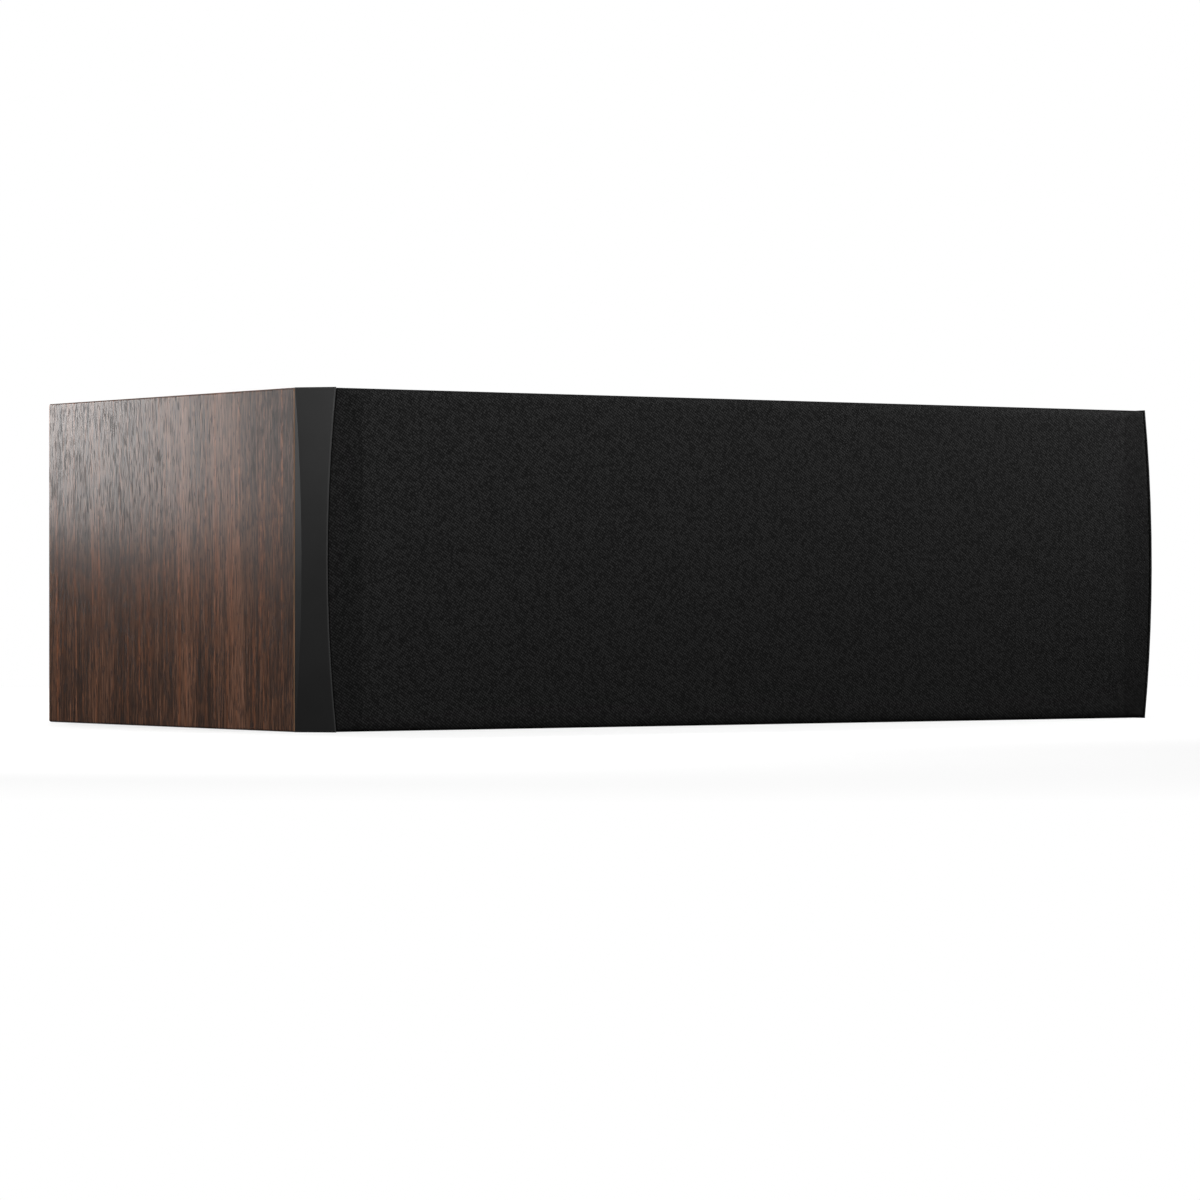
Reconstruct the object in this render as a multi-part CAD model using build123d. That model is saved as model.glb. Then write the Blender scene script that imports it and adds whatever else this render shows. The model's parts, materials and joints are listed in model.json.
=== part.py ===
from build123d import *
import math
import os

# Centre-channel loudspeaker, in millimetres. +Z is up and the front faces -Y. The origin is on the
# base, midway between the ends and midway between the front rim and the back board.

# Cabinet
cabinet_width = 552.0
cabinet_height = 170.0
wrap_depth = 252.0
board_thickness = 15.0
long_edge_radius = 1.2
seam_chamfer = 0.5
brace_thickness = 12.0
brace_border = 22.0
brace_clearance = 8.0

# Front baffle, with a bevel at each end that is cut by a large cylinder. The bevel's leg is measured
# along the front, and its slope is the depth that goes with each millimetre of the leg.
baffle_tenon = 12.0
rebate_backing = 3.2
bevel_leg_middle = 8.4
bevel_leg_end = 13.4
bevel_slope = 1.2
rim_land = 0.5
rim_softening = 0.7
recess_depth = 8.5

# Grille
grille_gap = 0.7
grille_proud = 0.6
grille_end_gap = 0.3
grille_seat_gap = 0.3
cloth_thickness = 0.6
panel_margin = 1.0
grille_edge_radius = 6.0
grille_end_taper = 0.8
end_bar_width = 14.0
long_bar_width = 10.0
cross_bar_width = 14.0
magnet_radius = 5.0
magnet_thickness = 3.0
magnet_offset = 52.0

# Fits
glue_gap = 0.15
part_gap = 0.3
gasket_thickness = 0.8
gasket_inset = 1.0
cut_margin = 1.0

# Woofers
woofer_radius = 72.0
flange_width = 11.0
flange_thickness = 4.5
flange_chamfer = 0.8
surround_ledge = 2.0
surround_seat_depth = 1.5
surround_thickness = 0.9
roll_radius = 4.5
basket_wall = 2.5
basket_waist = 22.0
basket_depth = 50.0
basket_taper = 17.0
basket_rear_plate = 3.5
basket_window_width = 38.0
basket_window_height = 18.0
basket_window_corner = 4.5
spoke_count = 6
tab_length = 14.0
tab_width = 12.0
tab_thickness = 2.0
tab_solder_reach = 10.0
spider_depth = 33.0
spider_ledge_inset = 1.0
spider_ledge_thickness = 2.0
spider_thickness = 0.7
spider_land = 5.0
spider_wave = 1.25
spider_inner_land = 2.0
cone_wall = 0.9
cone_drop = 1.1
cone_rim_width = 2.4
cone_neck_depth = 25.0
cone_bulge = 1.5
collar_wall = 1.0
collar_length = 3.0
collar_rise = 1.0
dust_cap_radius = 31.0
dust_cap_height = 8.0
coil_bore_radius = 18.2
former_wall = 0.4
winding_wall = 0.7
winding_length = 11.0
former_tail = 1.0
coil_clearance = 2.5
woofer_air_gap = 0.75
woofer_plate_thickness = 6.0
woofer_plate_overhang = 2.0
woofer_magnet_overhang = 3.0
woofer_magnet_bore = 25.0
woofer_magnet_thickness = 17.0
magnet_chamfer = 1.0
woofer_yoke_set_in = 1.0
woofer_yoke_chamfer = 1.5
woofer_pole_rise = 0.5
woofer_vent_radius = 5.0

# Tweeter
tweeter_radius = 52.0
tweeter_rim_width = 11.0
dish_depth = 2.6
dish_middle_depth = 1.0
throat_radius = 19.4
throat_lip = 1.0
throat_lip_drop = 0.2
spigot_inner_radius = 24.0
spigot_outer_radius = 34.0
spigot_height = 1.0
dome_radius = 14.1
dome_height = 5.2
dome_wall = 0.4
tweeter_roll = 2.0
tweeter_lip_radius = 23.5
tweeter_air_gap = 0.6
tweeter_coil_wall = 0.6
tweeter_coil_length = 4.8
tweeter_plate_thickness = 4.0
tweeter_plate_radius = 32.0
tweeter_magnet_radius = 36.0
tweeter_magnet_bore = 17.0
tweeter_magnet_thickness = 14.0
tweeter_yoke_radius = 33.0
tweeter_yoke_thickness = 4.0
tweeter_vent_radius = 4.0
chamber_radius = 29.0
chamber_wall = 2.0
chamber_length = 24.0

# Screws
screw_head_radius = 3.6
screw_head_height = 2.4
screw_chamfer = 0.6
screw_shank_radius = 1.9
screw_length = 14.0
screw_socket_radius = 1.9
screw_socket_depth = 1.4
screw_clearance = 0.3
screw_set_back = 0.3
pilot_allowance = 0.5
woofer_screw_inset = 4.5
woofer_screw_count = 6
woofer_screw_angle = 0.0
tweeter_screw_inset = 5.5
tweeter_screw_count = 4
tweeter_screw_angle = 45.0

# Reflex ports
port_radius = 21.0
port_wall = 2.5
port_flange_radius = 42.0
port_flange_thickness = 2.5
port_mouth_radius = 34.0
port_flare_depth = 20.0
port_inner_flare = 6.0
port_length = 108.0
port_offset = 190.0

# Terminal plate and binding posts
plate_width = 104.0
plate_height = 62.0
plate_thickness = 3.0
plate_corner_radius = 10.0
plate_chamfer = 0.75
plate_screw_inset = 8.0
plate_end_land = 12.0
plate_long_land = 5.0
boss_radius = 11.0
boss_height = 1.5
post_spacing = 38.0
post_radius = 4.0
post_collar_radius = 8.0
post_collar_height = 2.5
post_chamfer = 0.5
post_length = 22.0
post_shank_radius = 2.5
socket_radius = 2.0
socket_depth = 14.5
wire_hole_radius = 1.9
wire_hole_height = 5.0
nut_radius = 4.6
nut_thickness = 3.2
thread_gap = 0.1
insert_wall = 1.4
insert_length = 10.0
knob_radius = 9.0
knob_length = 20.5
knob_lift = 0.3
knob_mouth_gap = 0.6
knob_edge = 1.5
knob_skirt = 2.0
knob_flute_radius = 1.5
knob_flute_count = 16

# Crossover
crossover_height = 90.0
crossover_thickness = 1.6
crossover_inset = 30.0
crossover_corner = 3.0
crossover_margin = 5.0
coil_radius = 20.0
coil_inner_radius = 8.0
coil_height = 16.0
winding_recess = 1.0
bobbin_cheek = 1.5
capacitor_radius = 9.0
capacitor_length = 34.0
capacitor_rounding = 1.5
resistor_length = 24.0
resistor_side = 8.0
resistor_pitch = 12.8
resistor_chamfer = 0.6

# Cables and damping
cable_radius = 1.8
cable_bend = 22.0
cable_straight = 40.0
cable_slack = 10.0
cable_drop = 12.0
cable_edge_inset = 12.0
damping_thickness = 22.0
damping_margin = 14.0
damping_corner = 8.0

# Positions that follow from the sizes above
baffle_proud = recess_depth + flange_thickness + gasket_thickness + rebate_backing
overall_depth = wrap_depth + baffle_proud
front_y = -overall_depth / 2
back_y = overall_depth / 2
wrap_front_y = front_y + baffle_proud
floor_y = front_y + recess_depth
tenon_y = wrap_front_y + baffle_tenon
back_inner_y = back_y - board_thickness
mid_z = cabinet_height / 2
inner_width = cabinet_width - 2 * board_thickness
inner_height = cabinet_height - 2 * board_thickness
bevel_square = bevel_slope / math.hypot(1, bevel_slope)
bevel_sagitta = (bevel_leg_end - bevel_leg_middle) * bevel_square
bevel_radius = (mid_z**2 + bevel_sagitta**2) / (2 * bevel_sagitta)
rim_half_width = cabinet_width / 2 - bevel_leg_end - rim_land
window_end = rim_half_width - grille_gap - end_bar_width
basket_radius = woofer_radius - flange_width
basket_rear_radius = basket_radius - basket_taper
surround_seat_radius = basket_radius + surround_ledge
spider_ledge_radius = basket_rear_radius - spider_ledge_inset
woofer_plate_radius = basket_rear_radius + woofer_plate_overhang
woofer_magnet_radius = woofer_plate_radius + woofer_magnet_overhang
woofer_yoke_radius = woofer_plate_radius - woofer_yoke_set_in
driver_spacing = (rim_half_width - tweeter_radius - 2 * woofer_radius) / 2
woofer_x = tweeter_radius + driver_spacing + woofer_radius
cross_bar_x = tweeter_radius + driver_spacing / 2
brace_x = woofer_x - basket_radius - brace_clearance - brace_thickness / 2
crossover_width = 2 * (brace_x - brace_thickness / 2 - brace_clearance)
crossover_y = back_y - crossover_inset
former_radius = coil_bore_radius + former_wall
surround_center = surround_seat_radius - part_gap - 2 * surround_thickness - roll_radius
cone_radius = surround_center - roll_radius + 2 * surround_thickness
dish_radius = tweeter_radius - tweeter_rim_width
tweeter_roll_center = dome_radius + part_gap + tweeter_roll
motor_front = -flange_thickness - spigot_height
boss_y = back_y + boss_height
insert_start = wire_hole_height + wire_hole_radius + knob_lift
well_width = plate_width - 2 * plate_end_land
well_height = plate_height - 2 * plate_long_land


def facing_front(y, x=0.0, z=mid_z):
    return Plane(origin=(x, y, z), x_dir=(1, 0, 0), z_dir=(0, -1, 0))


def facing_back(y, x=0.0, z=mid_z):
    return Plane(origin=(x, y, z), x_dir=(-1, 0, 0), z_dir=(0, 1, 0))


def outline(*points):
    return make_face(Polyline(*points, close=True))


def turned(profile):
    """Turn a profile about the local Z axis; the profile's x is the radius and its y the height."""
    return revolve(Plane.XZ * profile, axis=Axis.Z)


def band(r_in, r_out, z_low, z_high):
    """A rectangle in a turned profile."""
    return outline((r_in, z_low), (r_out, z_low), (r_out, z_high), (r_in, z_high))


def half_roll(r_center, z_base, r_out, wall):
    """The upper half of a ring section in a turned profile, as a rolled edge has."""
    ring = Pos(r_center, z_base) * (Circle(r_out) - Circle(r_out - wall))
    return ring & band(r_center - r_out, r_center + r_out, z_base, z_base + r_out)


def cap_profile(radius, height, wall, z_base):
    """Half the section of a thin spherical cap that stands on z_base."""
    ball = (radius**2 + height**2) / (2 * height)
    center = z_base + height - ball
    shell = Pos(0, center) * (Circle(ball) - Circle(ball - wall))
    return shell & band(0, radius, z_base, z_base + height)


def on_circle(radius, count, first_angle=0.0):
    """Points evenly spaced on a circle."""
    step = 2 * math.pi / count
    angles = [math.radians(first_angle) + step * i for i in range(count)]
    return [(radius * math.cos(a), radius * math.sin(a)) for a in angles]


def drilled(part, points, radius, z_low, z_high):
    """Cut round holes through a part along its local Z."""
    for x, y in points:
        part -= Pos(x, y, (z_low + z_high) / 2) * Cylinder(radius, z_high - z_low)
    return part


def screw(x, y, head_top):
    """A flat socket-head screw that points down local Z."""
    head = Pos(x, y, head_top - screw_head_height / 2) * Cylinder(screw_head_radius, screw_head_height)
    head = chamfer(head.edges().group_by(Axis.Z)[-1], screw_chamfer)
    shank_middle = head_top - screw_head_height - screw_length / 2
    shank = Pos(x, y, shank_middle) * Cylinder(screw_shank_radius, screw_length)
    socket_face = Pos(x, y, head_top) * RegularPolygon(screw_socket_radius, 6)
    return head + shank - extrude(socket_face, amount=-screw_socket_depth)


def screw_seats(part, points, face_z, part_depth):
    """Counterbores and clearance holes for the screws."""
    head_floor = face_z - screw_set_back - screw_head_height
    top = face_z + cut_margin
    bottom = face_z - part_depth - cut_margin
    part = drilled(part, points, screw_shank_radius + screw_clearance, bottom, top)
    return drilled(part, points, screw_head_radius + screw_clearance, head_floor, top)


# Cabinet


def wrap_ring():
    section = RectangleRounded(cabinet_width, cabinet_height, long_edge_radius)
    ring = extrude(facing_front(wrap_front_y) * section, amount=-wrap_depth)
    front_edges = ring.faces().sort_by(Axis.Y)[0].outer_wire().edges()
    ring = chamfer(front_edges, seam_chamfer)
    hollow = facing_front(wrap_front_y) * Rectangle(inner_width, inner_height)
    return ring - extrude(hollow, amount=-wrap_depth)


def wrap_board(ring, side_x, side_z):
    """One mitred board of the wrap, on the side named by its outward direction."""
    w, h = cabinet_width / 2, cabinet_height / 2
    wi, hi = inner_width / 2, inner_height / 2
    if side_x:
        corners = [(side_x * w, -h), (side_x * w, h), (side_x * wi, hi), (side_x * wi, -hi)]
    else:
        corners = [(-w, side_z * h), (w, side_z * h), (wi, side_z * hi), (-wi, side_z * hi)]
    wedge = extrude(facing_front(wrap_front_y) * outline(*corners), amount=-wrap_depth)
    return ring & wedge


def terminal_screw_points():
    x = plate_width / 2 - plate_screw_inset
    y = plate_height / 2 - plate_screw_inset
    return [(x, y), (-x, y), (-x, -y), (x, -y)]


def back_board():
    panel = facing_back(back_inner_y) * Rectangle(inner_width, inner_height)
    board = extrude(panel, amount=board_thickness)
    hole_radius = port_mouth_radius + port_wall + part_gap
    for x in (-port_offset, port_offset):
        board -= extrude(facing_back(back_inner_y, x) * Circle(hole_radius), amount=board_thickness)
    pocket = offset(RectangleRounded(plate_width, plate_height, plate_corner_radius), part_gap)
    board -= extrude(facing_back(back_y) * pocket, amount=-plate_thickness - gasket_thickness)
    well = RectangleRounded(well_width, well_height, plate_corner_radius)
    board -= extrude(facing_back(back_inner_y) * well, amount=board_thickness)
    local = facing_back(back_y).location.inverse() * board
    pilot_end = -screw_set_back - screw_head_height - screw_length - pilot_allowance
    local = drilled(local, terminal_screw_points(), screw_shank_radius + thread_gap, pilot_end, 0)
    return facing_back(back_y).location * local


def brace(x):
    length = back_inner_y - tenon_y
    middle = (back_inner_y + tenon_y) / 2
    plane = Plane(origin=(x, middle, mid_z), x_dir=(0, 1, 0), z_dir=(1, 0, 0))
    window_height = inner_height - 2 * brace_border
    window = RectangleRounded(length - 2 * brace_border, window_height, brace_border / 2)
    panel = Rectangle(length, inner_height) - window
    return extrude(plane * panel, amount=brace_thickness / 2, both=True)


# Front baffle and grille


def bevel_leg(height):
    """Length of the bevel's leg at a height above or below the middle."""
    return bevel_leg_middle + (bevel_radius - math.sqrt(bevel_radius**2 - height**2)) / bevel_square


def bowed_outline(half_height, inset):
    """The outline between the two bevels, drawn in from them by inset."""
    end = cabinet_width / 2 - bevel_leg(half_height) - inset
    middle = cabinet_width / 2 - bevel_leg(0) - inset
    top = Line((-end, half_height), (end, half_height))
    right = ThreePointArc((end, half_height), (middle, 0), (end, -half_height))
    bottom = Line((end, -half_height), (-end, -half_height))
    left = ThreePointArc((-end, -half_height), (-middle, 0), (-end, half_height))
    return make_face([top, right, bottom, left])


def bevel_cutter(side):
    """What the bowed bevel takes off one front corner of the baffle."""
    corner = (side * cabinet_width / 2, front_y, mid_z)
    plane = Plane(origin=corner, x_dir=(side * bevel_slope, -1, 0), z_dir=(side, bevel_slope, 0))
    reach = 2 * bevel_leg_end
    keep = Pos(-bevel_leg_middle * bevel_square - bevel_radius, 0) * Circle(bevel_radius)
    waste = Rectangle(reach, cabinet_height + reach) - keep
    return extrude(plane * waste, amount=reach, both=True)


def magnet_points():
    end_x = window_end + end_bar_width / 2
    points = [(x, z) for x in (-end_x, end_x) for z in (-magnet_offset, magnet_offset)]
    return points + [(-cross_bar_x, 0), (cross_bar_x, 0)]


def magnet_discs(face_y, depth):
    """A disc at each magnet's place, forwards of face_y, or behind it if depth is negative."""
    faces = [facing_front(face_y, x, mid_z + z) * Circle(magnet_radius) for x, z in magnet_points()]
    return [extrude(face, amount=depth) for face in faces]


def woofer_screw_points():
    return on_circle(woofer_radius - woofer_screw_inset, woofer_screw_count, woofer_screw_angle)


def tweeter_screw_points():
    return on_circle(tweeter_radius - tweeter_screw_inset, tweeter_screw_count, tweeter_screw_angle)


def driver_opening(part, x, flange_radius, hole_radius, screw_points):
    """Rebate, opening and pilot holes for one driver."""
    seat = flange_thickness + gasket_thickness
    part -= extrude(facing_front(floor_y, x) * Circle(flange_radius + part_gap), amount=-seat)
    part -= extrude(facing_front(floor_y, x) * Circle(hole_radius), amount=-baffle_proud - baffle_tenon)
    pilot_depth = screw_set_back + screw_head_height + screw_length + pilot_allowance
    for px, py in screw_points:
        pilot = facing_front(floor_y, x + px, mid_z + py) * Circle(screw_shank_radius + thread_gap)
        part -= extrude(pilot, amount=-pilot_depth)
    return part


def front_baffle():
    panel = facing_front(wrap_front_y) * Rectangle(cabinet_width, cabinet_height)
    slab = extrude(panel, amount=baffle_proud)
    rear_edges = slab.faces().sort_by(Axis.Y)[-1].outer_wire().edges()
    slab = chamfer(rear_edges, seam_chamfer)
    slab -= bevel_cutter(-1)
    slab -= bevel_cutter(1)
    recess = bowed_outline(cabinet_height / 2 + cut_margin, rim_land)
    slab -= extrude(facing_front(floor_y) * recess, amount=recess_depth + cut_margin)
    rim = slab.faces().group_by(Axis.Y)[0]
    rim_edges = [face.edges().sort_by(lambda edge: abs(edge.center().X))[-1] for face in rim]
    slab = fillet(rim_edges, rim_softening)
    tenon = facing_front(wrap_front_y) * Rectangle(inner_width, inner_height)
    slab += extrude(tenon, amount=-baffle_tenon)
    for x in (-woofer_x, woofer_x):
        slab = driver_opening(slab, x, woofer_radius, basket_radius + part_gap, woofer_screw_points())
    tweeter_hole = tweeter_magnet_radius + 2 * part_gap
    slab = driver_opening(slab, 0, tweeter_radius, tweeter_hole, tweeter_screw_points())
    for disc in magnet_discs(floor_y, -magnet_thickness):
        slab -= disc
    return slab


def baffle_magnets():
    return Compound(children=magnet_discs(floor_y, -magnet_thickness))


def grille_body(skin):
    """The grille's outer form, drawn in by skin: bowed ends, rounded long edges, tapered end bars."""
    front = front_y - grille_proud + skin
    rear = floor_y - grille_seat_gap
    half_height = cabinet_height / 2 - grille_end_gap - skin
    inset = rim_land + grille_gap + skin
    between_bevels = bowed_outline(half_height + cut_margin, inset)
    body = extrude(facing_front(rear) * between_bevels, amount=rear - front)
    round_edge = grille_edge_radius - skin
    side = Plane(origin=(0, front, mid_z), x_dir=(0, 1, 0), z_dir=(1, 0, 0))
    profile = Pos(rear - front, 0) * Rectangle(2 * (rear - front), 2 * half_height)
    profile = fillet(profile.vertices().group_by(Axis.X)[0], round_edge)
    body &= extrude(side * profile, amount=cabinet_width, both=True)
    end = cabinet_width / 2
    drop = grille_end_taper * (end - window_end) / end_bar_width
    for sign in (-1, 1):
        wedge = outline((sign * window_end, front), (sign * end, front), (sign * end, front + drop))
        body -= extrude(wedge, amount=cabinet_height)
    return body


def grille_windows():
    """Left edge and right edge of each window in the grille frame."""
    half_bar = cross_bar_width / 2
    middle = cross_bar_x - half_bar
    side = cross_bar_x + half_bar
    return [(-window_end, -side), (-middle, middle), (side, window_end)]


def grille_frame():
    """Six strips glued end to end: a long bar above and below, and the end and cross bars between them."""
    body = grille_body(cloth_thickness)
    for disc in magnet_discs(floor_y - grille_seat_gap, magnet_thickness):
        body -= disc
    window_height = cabinet_height - 2 * long_bar_width
    span = facing_front(floor_y) * Rectangle(cabinet_width, window_height)
    depth = recess_depth + grille_proud
    span = extrude(span, amount=depth)
    long_bars = body - span
    short_bars = body & span
    for left, right in grille_windows():
        window = facing_front(floor_y, (left + right) / 2) * Rectangle(right - left, window_height)
        short_bars -= extrude(window, amount=depth)
    return Compound(children=long_bars.solids() + short_bars.solids())


def grille_cloth():
    """The flat panel of the cloth that spans the windows, and the border that wraps the frame."""
    skin = grille_body(0) - grille_body(cloth_thickness)
    flat_height = cabinet_height - 2 * (grille_end_gap + grille_edge_radius + panel_margin)
    flat_width = 2 * (window_end - panel_margin)
    flat = facing_front(front_y - grille_proud) * Rectangle(flat_width, flat_height)
    panel = extrude(flat, amount=-cloth_thickness)
    return Compound(children=[panel, skin - panel])


def grille_magnets():
    return Compound(children=magnet_discs(floor_y - grille_seat_gap, magnet_thickness))


# Woofer pieces, about the local Z axis: the flange's front is at zero and the front is +Z


def woofer_basket(tab_side):
    wall_inner = basket_radius - basket_wall
    rear_plate = -basket_depth + basket_rear_plate
    bore = former_radius + winding_wall + coil_clearance
    profile = outline(
        (wall_inner, -surround_seat_depth),
        (surround_seat_radius, -surround_seat_depth),
        (surround_seat_radius, 0),
        (woofer_radius - flange_chamfer, 0),
        (woofer_radius, -flange_chamfer),
        (woofer_radius, -flange_thickness),
        (basket_radius, -flange_thickness),
        (basket_radius, -basket_waist),
        (basket_rear_radius, rear_plate),
        (basket_rear_radius, -basket_depth),
        (bore, -basket_depth),
        (bore, rear_plate),
        (basket_rear_radius - basket_wall, rear_plate),
        (wall_inner, -basket_waist),
    )
    ledge_low = -spider_depth - spider_ledge_thickness
    slope = (basket_radius - basket_rear_radius) / (-rear_plate - basket_waist)
    ledge_outer = basket_radius - slope * (-ledge_low - basket_waist) - basket_wall / 2
    profile += band(spider_ledge_radius, ledge_outer, ledge_low, -spider_depth)
    basket = turned(profile)
    window = RectangleRounded(basket_window_width, basket_window_height, basket_window_corner)
    window_z = -(flange_thickness + spider_depth) / 2
    for i in range(spoke_count):
        turn = Rot(0, 0, (i + 0.5) * 360 / spoke_count)
        side = turn * Plane(origin=(0, 0, window_z), x_dir=(0, 1, 0), z_dir=(1, 0, 0))
        basket -= extrude(side * window, amount=basket_radius + cut_margin)
    tab_start = basket_rear_radius - basket_wall
    tab = Pos(tab_side * (tab_start + tab_length / 2), 0, -basket_depth + tab_thickness / 2)
    basket += tab * Box(tab_length, tab_width, tab_thickness)
    return screw_seats(basket, woofer_screw_points(), 0, flange_thickness)


def woofer_gasket():
    low = -flange_thickness - gasket_thickness
    ring = turned(band(basket_radius + 2 * part_gap, woofer_radius - part_gap, low, -flange_thickness))
    holes = screw_shank_radius + screw_clearance
    return drilled(ring, woofer_screw_points(), holes, low, -flange_thickness)


def woofer_surround():
    wall = surround_thickness
    base = -surround_seat_depth
    profile = half_roll(surround_center, base, roll_radius, wall)
    outer_lip = surround_seat_radius - part_gap
    inner_lip = surround_center - roll_radius - 2 * wall
    profile += band(surround_center + roll_radius - wall, outer_lip, base, base + wall)
    profile += band(inner_lip, surround_center - roll_radius + wall, base, base + wall)
    return turned(profile)


def cone_section():
    """Ends and middle of the cone's front line, from its neck to its rim."""
    rim_z = -surround_seat_depth - glue_gap
    neck = (former_radius + glue_gap + collar_wall / 2, -cone_neck_depth)
    rim = (cone_radius - cone_rim_width, rim_z)
    length = math.dist(neck, rim)
    lean = ((rim[0] - neck[0]) / length, (rim[1] - neck[1]) / length)
    halfway = ((neck[0] + rim[0]) / 2, (neck[1] + rim[1]) / 2)
    middle = (halfway[0] - cone_bulge * lean[1], halfway[1] + cone_bulge * lean[0])
    return neck, middle, rim


def cone_height(radius):
    """Height of the cone's front line at a radius."""
    neck, middle, rim = cone_section()
    arc = ThreePointArc(neck, middle, rim)
    center = arc.arc_center
    return center.Y + math.sqrt(arc.radius**2 - (radius - center.X) ** 2)


def woofer_cone():
    neck, middle, rim = cone_section()
    rear_neck, rear_middle, rear_rim = [(x, y - cone_drop) for x, y in (neck, middle, rim)]
    front = ThreePointArc(neck, middle, rim)
    rear = ThreePointArc(rear_rim, rear_middle, rear_neck)
    wall = make_face([front, Line(rim, rear_rim), rear, Line(rear_neck, neck)])
    collar_inner = former_radius + glue_gap
    collar_top = -cone_neck_depth + collar_rise
    wall += band(collar_inner, collar_inner + collar_wall, collar_top - collar_length, collar_top)
    wall += band(rim[0] - cone_wall, cone_radius, rim[1] - cone_wall, rim[1])
    return turned(wall)


def woofer_dust_cap():
    foot = cone_height(dust_cap_radius) + glue_gap
    return turned(cap_profile(dust_cap_radius, dust_cap_height, cone_wall, foot))


def woofer_coil():
    plate_middle = -basket_depth - woofer_plate_thickness / 2
    winding_low = plate_middle - winding_length / 2
    top = -cone_neck_depth + collar_rise
    profile = band(coil_bore_radius, former_radius, winding_low - former_tail, top)
    winding = band(former_radius, former_radius + winding_wall, winding_low, winding_low + winding_length)
    return turned(profile + winding)


def woofer_spider():
    """Corrugated disc from the coil former to the basket's ledge."""
    wall = spider_thickness
    center_line = -spider_depth + wall / 2
    inner = former_radius + glue_gap
    end = spider_ledge_radius - part_gap - wall
    wave_count = int((end - inner - spider_inner_land) / (2 * spider_wave))
    start = end - 2 * spider_wave * wave_count
    profile = band(inner, start + wall / 2, -spider_depth, -spider_depth + wall)
    for i in range(wave_count):
        r = start + spider_wave * (2 * i + 1)
        roll = half_roll(0, 0, spider_wave + wall / 2, wall)
        profile += Pos(r, center_line) * Rot(0, 0, 180 * (i % 2)) * roll
    outer = spider_ledge_radius + spider_land
    profile += band(end - wall / 2, outer, -spider_depth, -spider_depth + wall)
    return turned(profile)


def woofer_top_plate():
    bore = former_radius + winding_wall + woofer_air_gap
    return turned(band(bore, woofer_plate_radius, -basket_depth - woofer_plate_thickness, -basket_depth))


def woofer_magnet():
    front = -basket_depth - woofer_plate_thickness
    ring = turned(band(woofer_magnet_bore, woofer_magnet_radius, front - woofer_magnet_thickness, front))
    return chamfer(ring.edges().filter_by(GeomType.CIRCLE).group_by(SortBy.LENGTH)[-1], magnet_chamfer)


def woofer_yoke():
    front = -basket_depth - woofer_plate_thickness - woofer_magnet_thickness
    rear = front - woofer_plate_thickness
    pole_radius = coil_bore_radius - woofer_air_gap
    pole_top = -basket_depth + woofer_pole_rise
    profile = outline(
        (woofer_vent_radius, rear),
        (woofer_yoke_radius - woofer_yoke_chamfer, rear),
        (woofer_yoke_radius, rear + woofer_yoke_chamfer),
        (woofer_yoke_radius, front),
        (pole_radius, front),
        (pole_radius, pole_top),
        (woofer_vent_radius, pole_top),
    )
    return turned(profile)


# Tweeter pieces, about the local Z axis: the faceplate's front is at zero and the front is +Z


def tweeter_faceplate():
    hole_edge = (throat_radius, -dish_depth - throat_lip_drop)
    dish_start = (throat_radius + throat_lip, -dish_depth)
    dish_middle = ((dish_start[0] + dish_radius) / 2, -dish_middle_depth)
    dish_end = (dish_radius, 0)
    corners = [
        dish_end,
        (tweeter_radius - flange_chamfer, 0),
        (tweeter_radius, -flange_chamfer),
        (tweeter_radius, -flange_thickness),
        (spigot_outer_radius, -flange_thickness),
        (spigot_outer_radius, motor_front),
        (spigot_inner_radius, motor_front),
        (spigot_inner_radius, -flange_thickness),
        (throat_radius, -flange_thickness),
        hole_edge,
        dish_start,
    ]
    profile = make_face([Polyline(*corners), ThreePointArc(dish_start, dish_middle, dish_end)])
    return screw_seats(turned(profile), tweeter_screw_points(), 0, flange_thickness)


def tweeter_gasket():
    inner = tweeter_magnet_radius + 2 * part_gap + gasket_inset
    low = -flange_thickness - gasket_thickness
    ring = turned(band(inner, tweeter_radius - part_gap, low, -flange_thickness))
    holes = screw_shank_radius + screw_clearance
    return drilled(ring, tweeter_screw_points(), holes, low, -flange_thickness)


def tweeter_surround():
    base = motor_front + glue_gap
    lip_start = tweeter_roll_center + tweeter_roll - dome_wall
    profile = half_roll(tweeter_roll_center, base, tweeter_roll, dome_wall)
    profile += band(lip_start, tweeter_lip_radius, base, base + dome_wall)
    return turned(profile)


def tweeter_dome():
    return turned(cap_profile(dome_radius, dome_height, dome_wall, motor_front + glue_gap))


def tweeter_coil():
    outer = dome_radius - glue_gap
    return turned(band(outer - tweeter_coil_wall, outer, motor_front - tweeter_coil_length, motor_front))


def tweeter_top_plate():
    bore = dome_radius - glue_gap + tweeter_air_gap
    return turned(band(bore, tweeter_plate_radius, motor_front - tweeter_plate_thickness, motor_front))


def tweeter_magnet():
    front = motor_front - tweeter_plate_thickness
    rear = front - tweeter_magnet_thickness
    ring = turned(band(tweeter_magnet_bore, tweeter_magnet_radius, rear, front))
    return chamfer(ring.edges().filter_by(GeomType.CIRCLE).group_by(SortBy.LENGTH)[-1], magnet_chamfer)


def tweeter_rear():
    return motor_front - tweeter_plate_thickness - tweeter_magnet_thickness - tweeter_yoke_thickness


def tweeter_yoke():
    rear = tweeter_rear()
    pole_radius = dome_radius - glue_gap - tweeter_coil_wall - tweeter_air_gap
    profile = band(tweeter_vent_radius, tweeter_yoke_radius, rear, rear + tweeter_yoke_thickness)
    profile += band(tweeter_vent_radius, pole_radius, rear, motor_front)
    return turned(profile)


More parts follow.
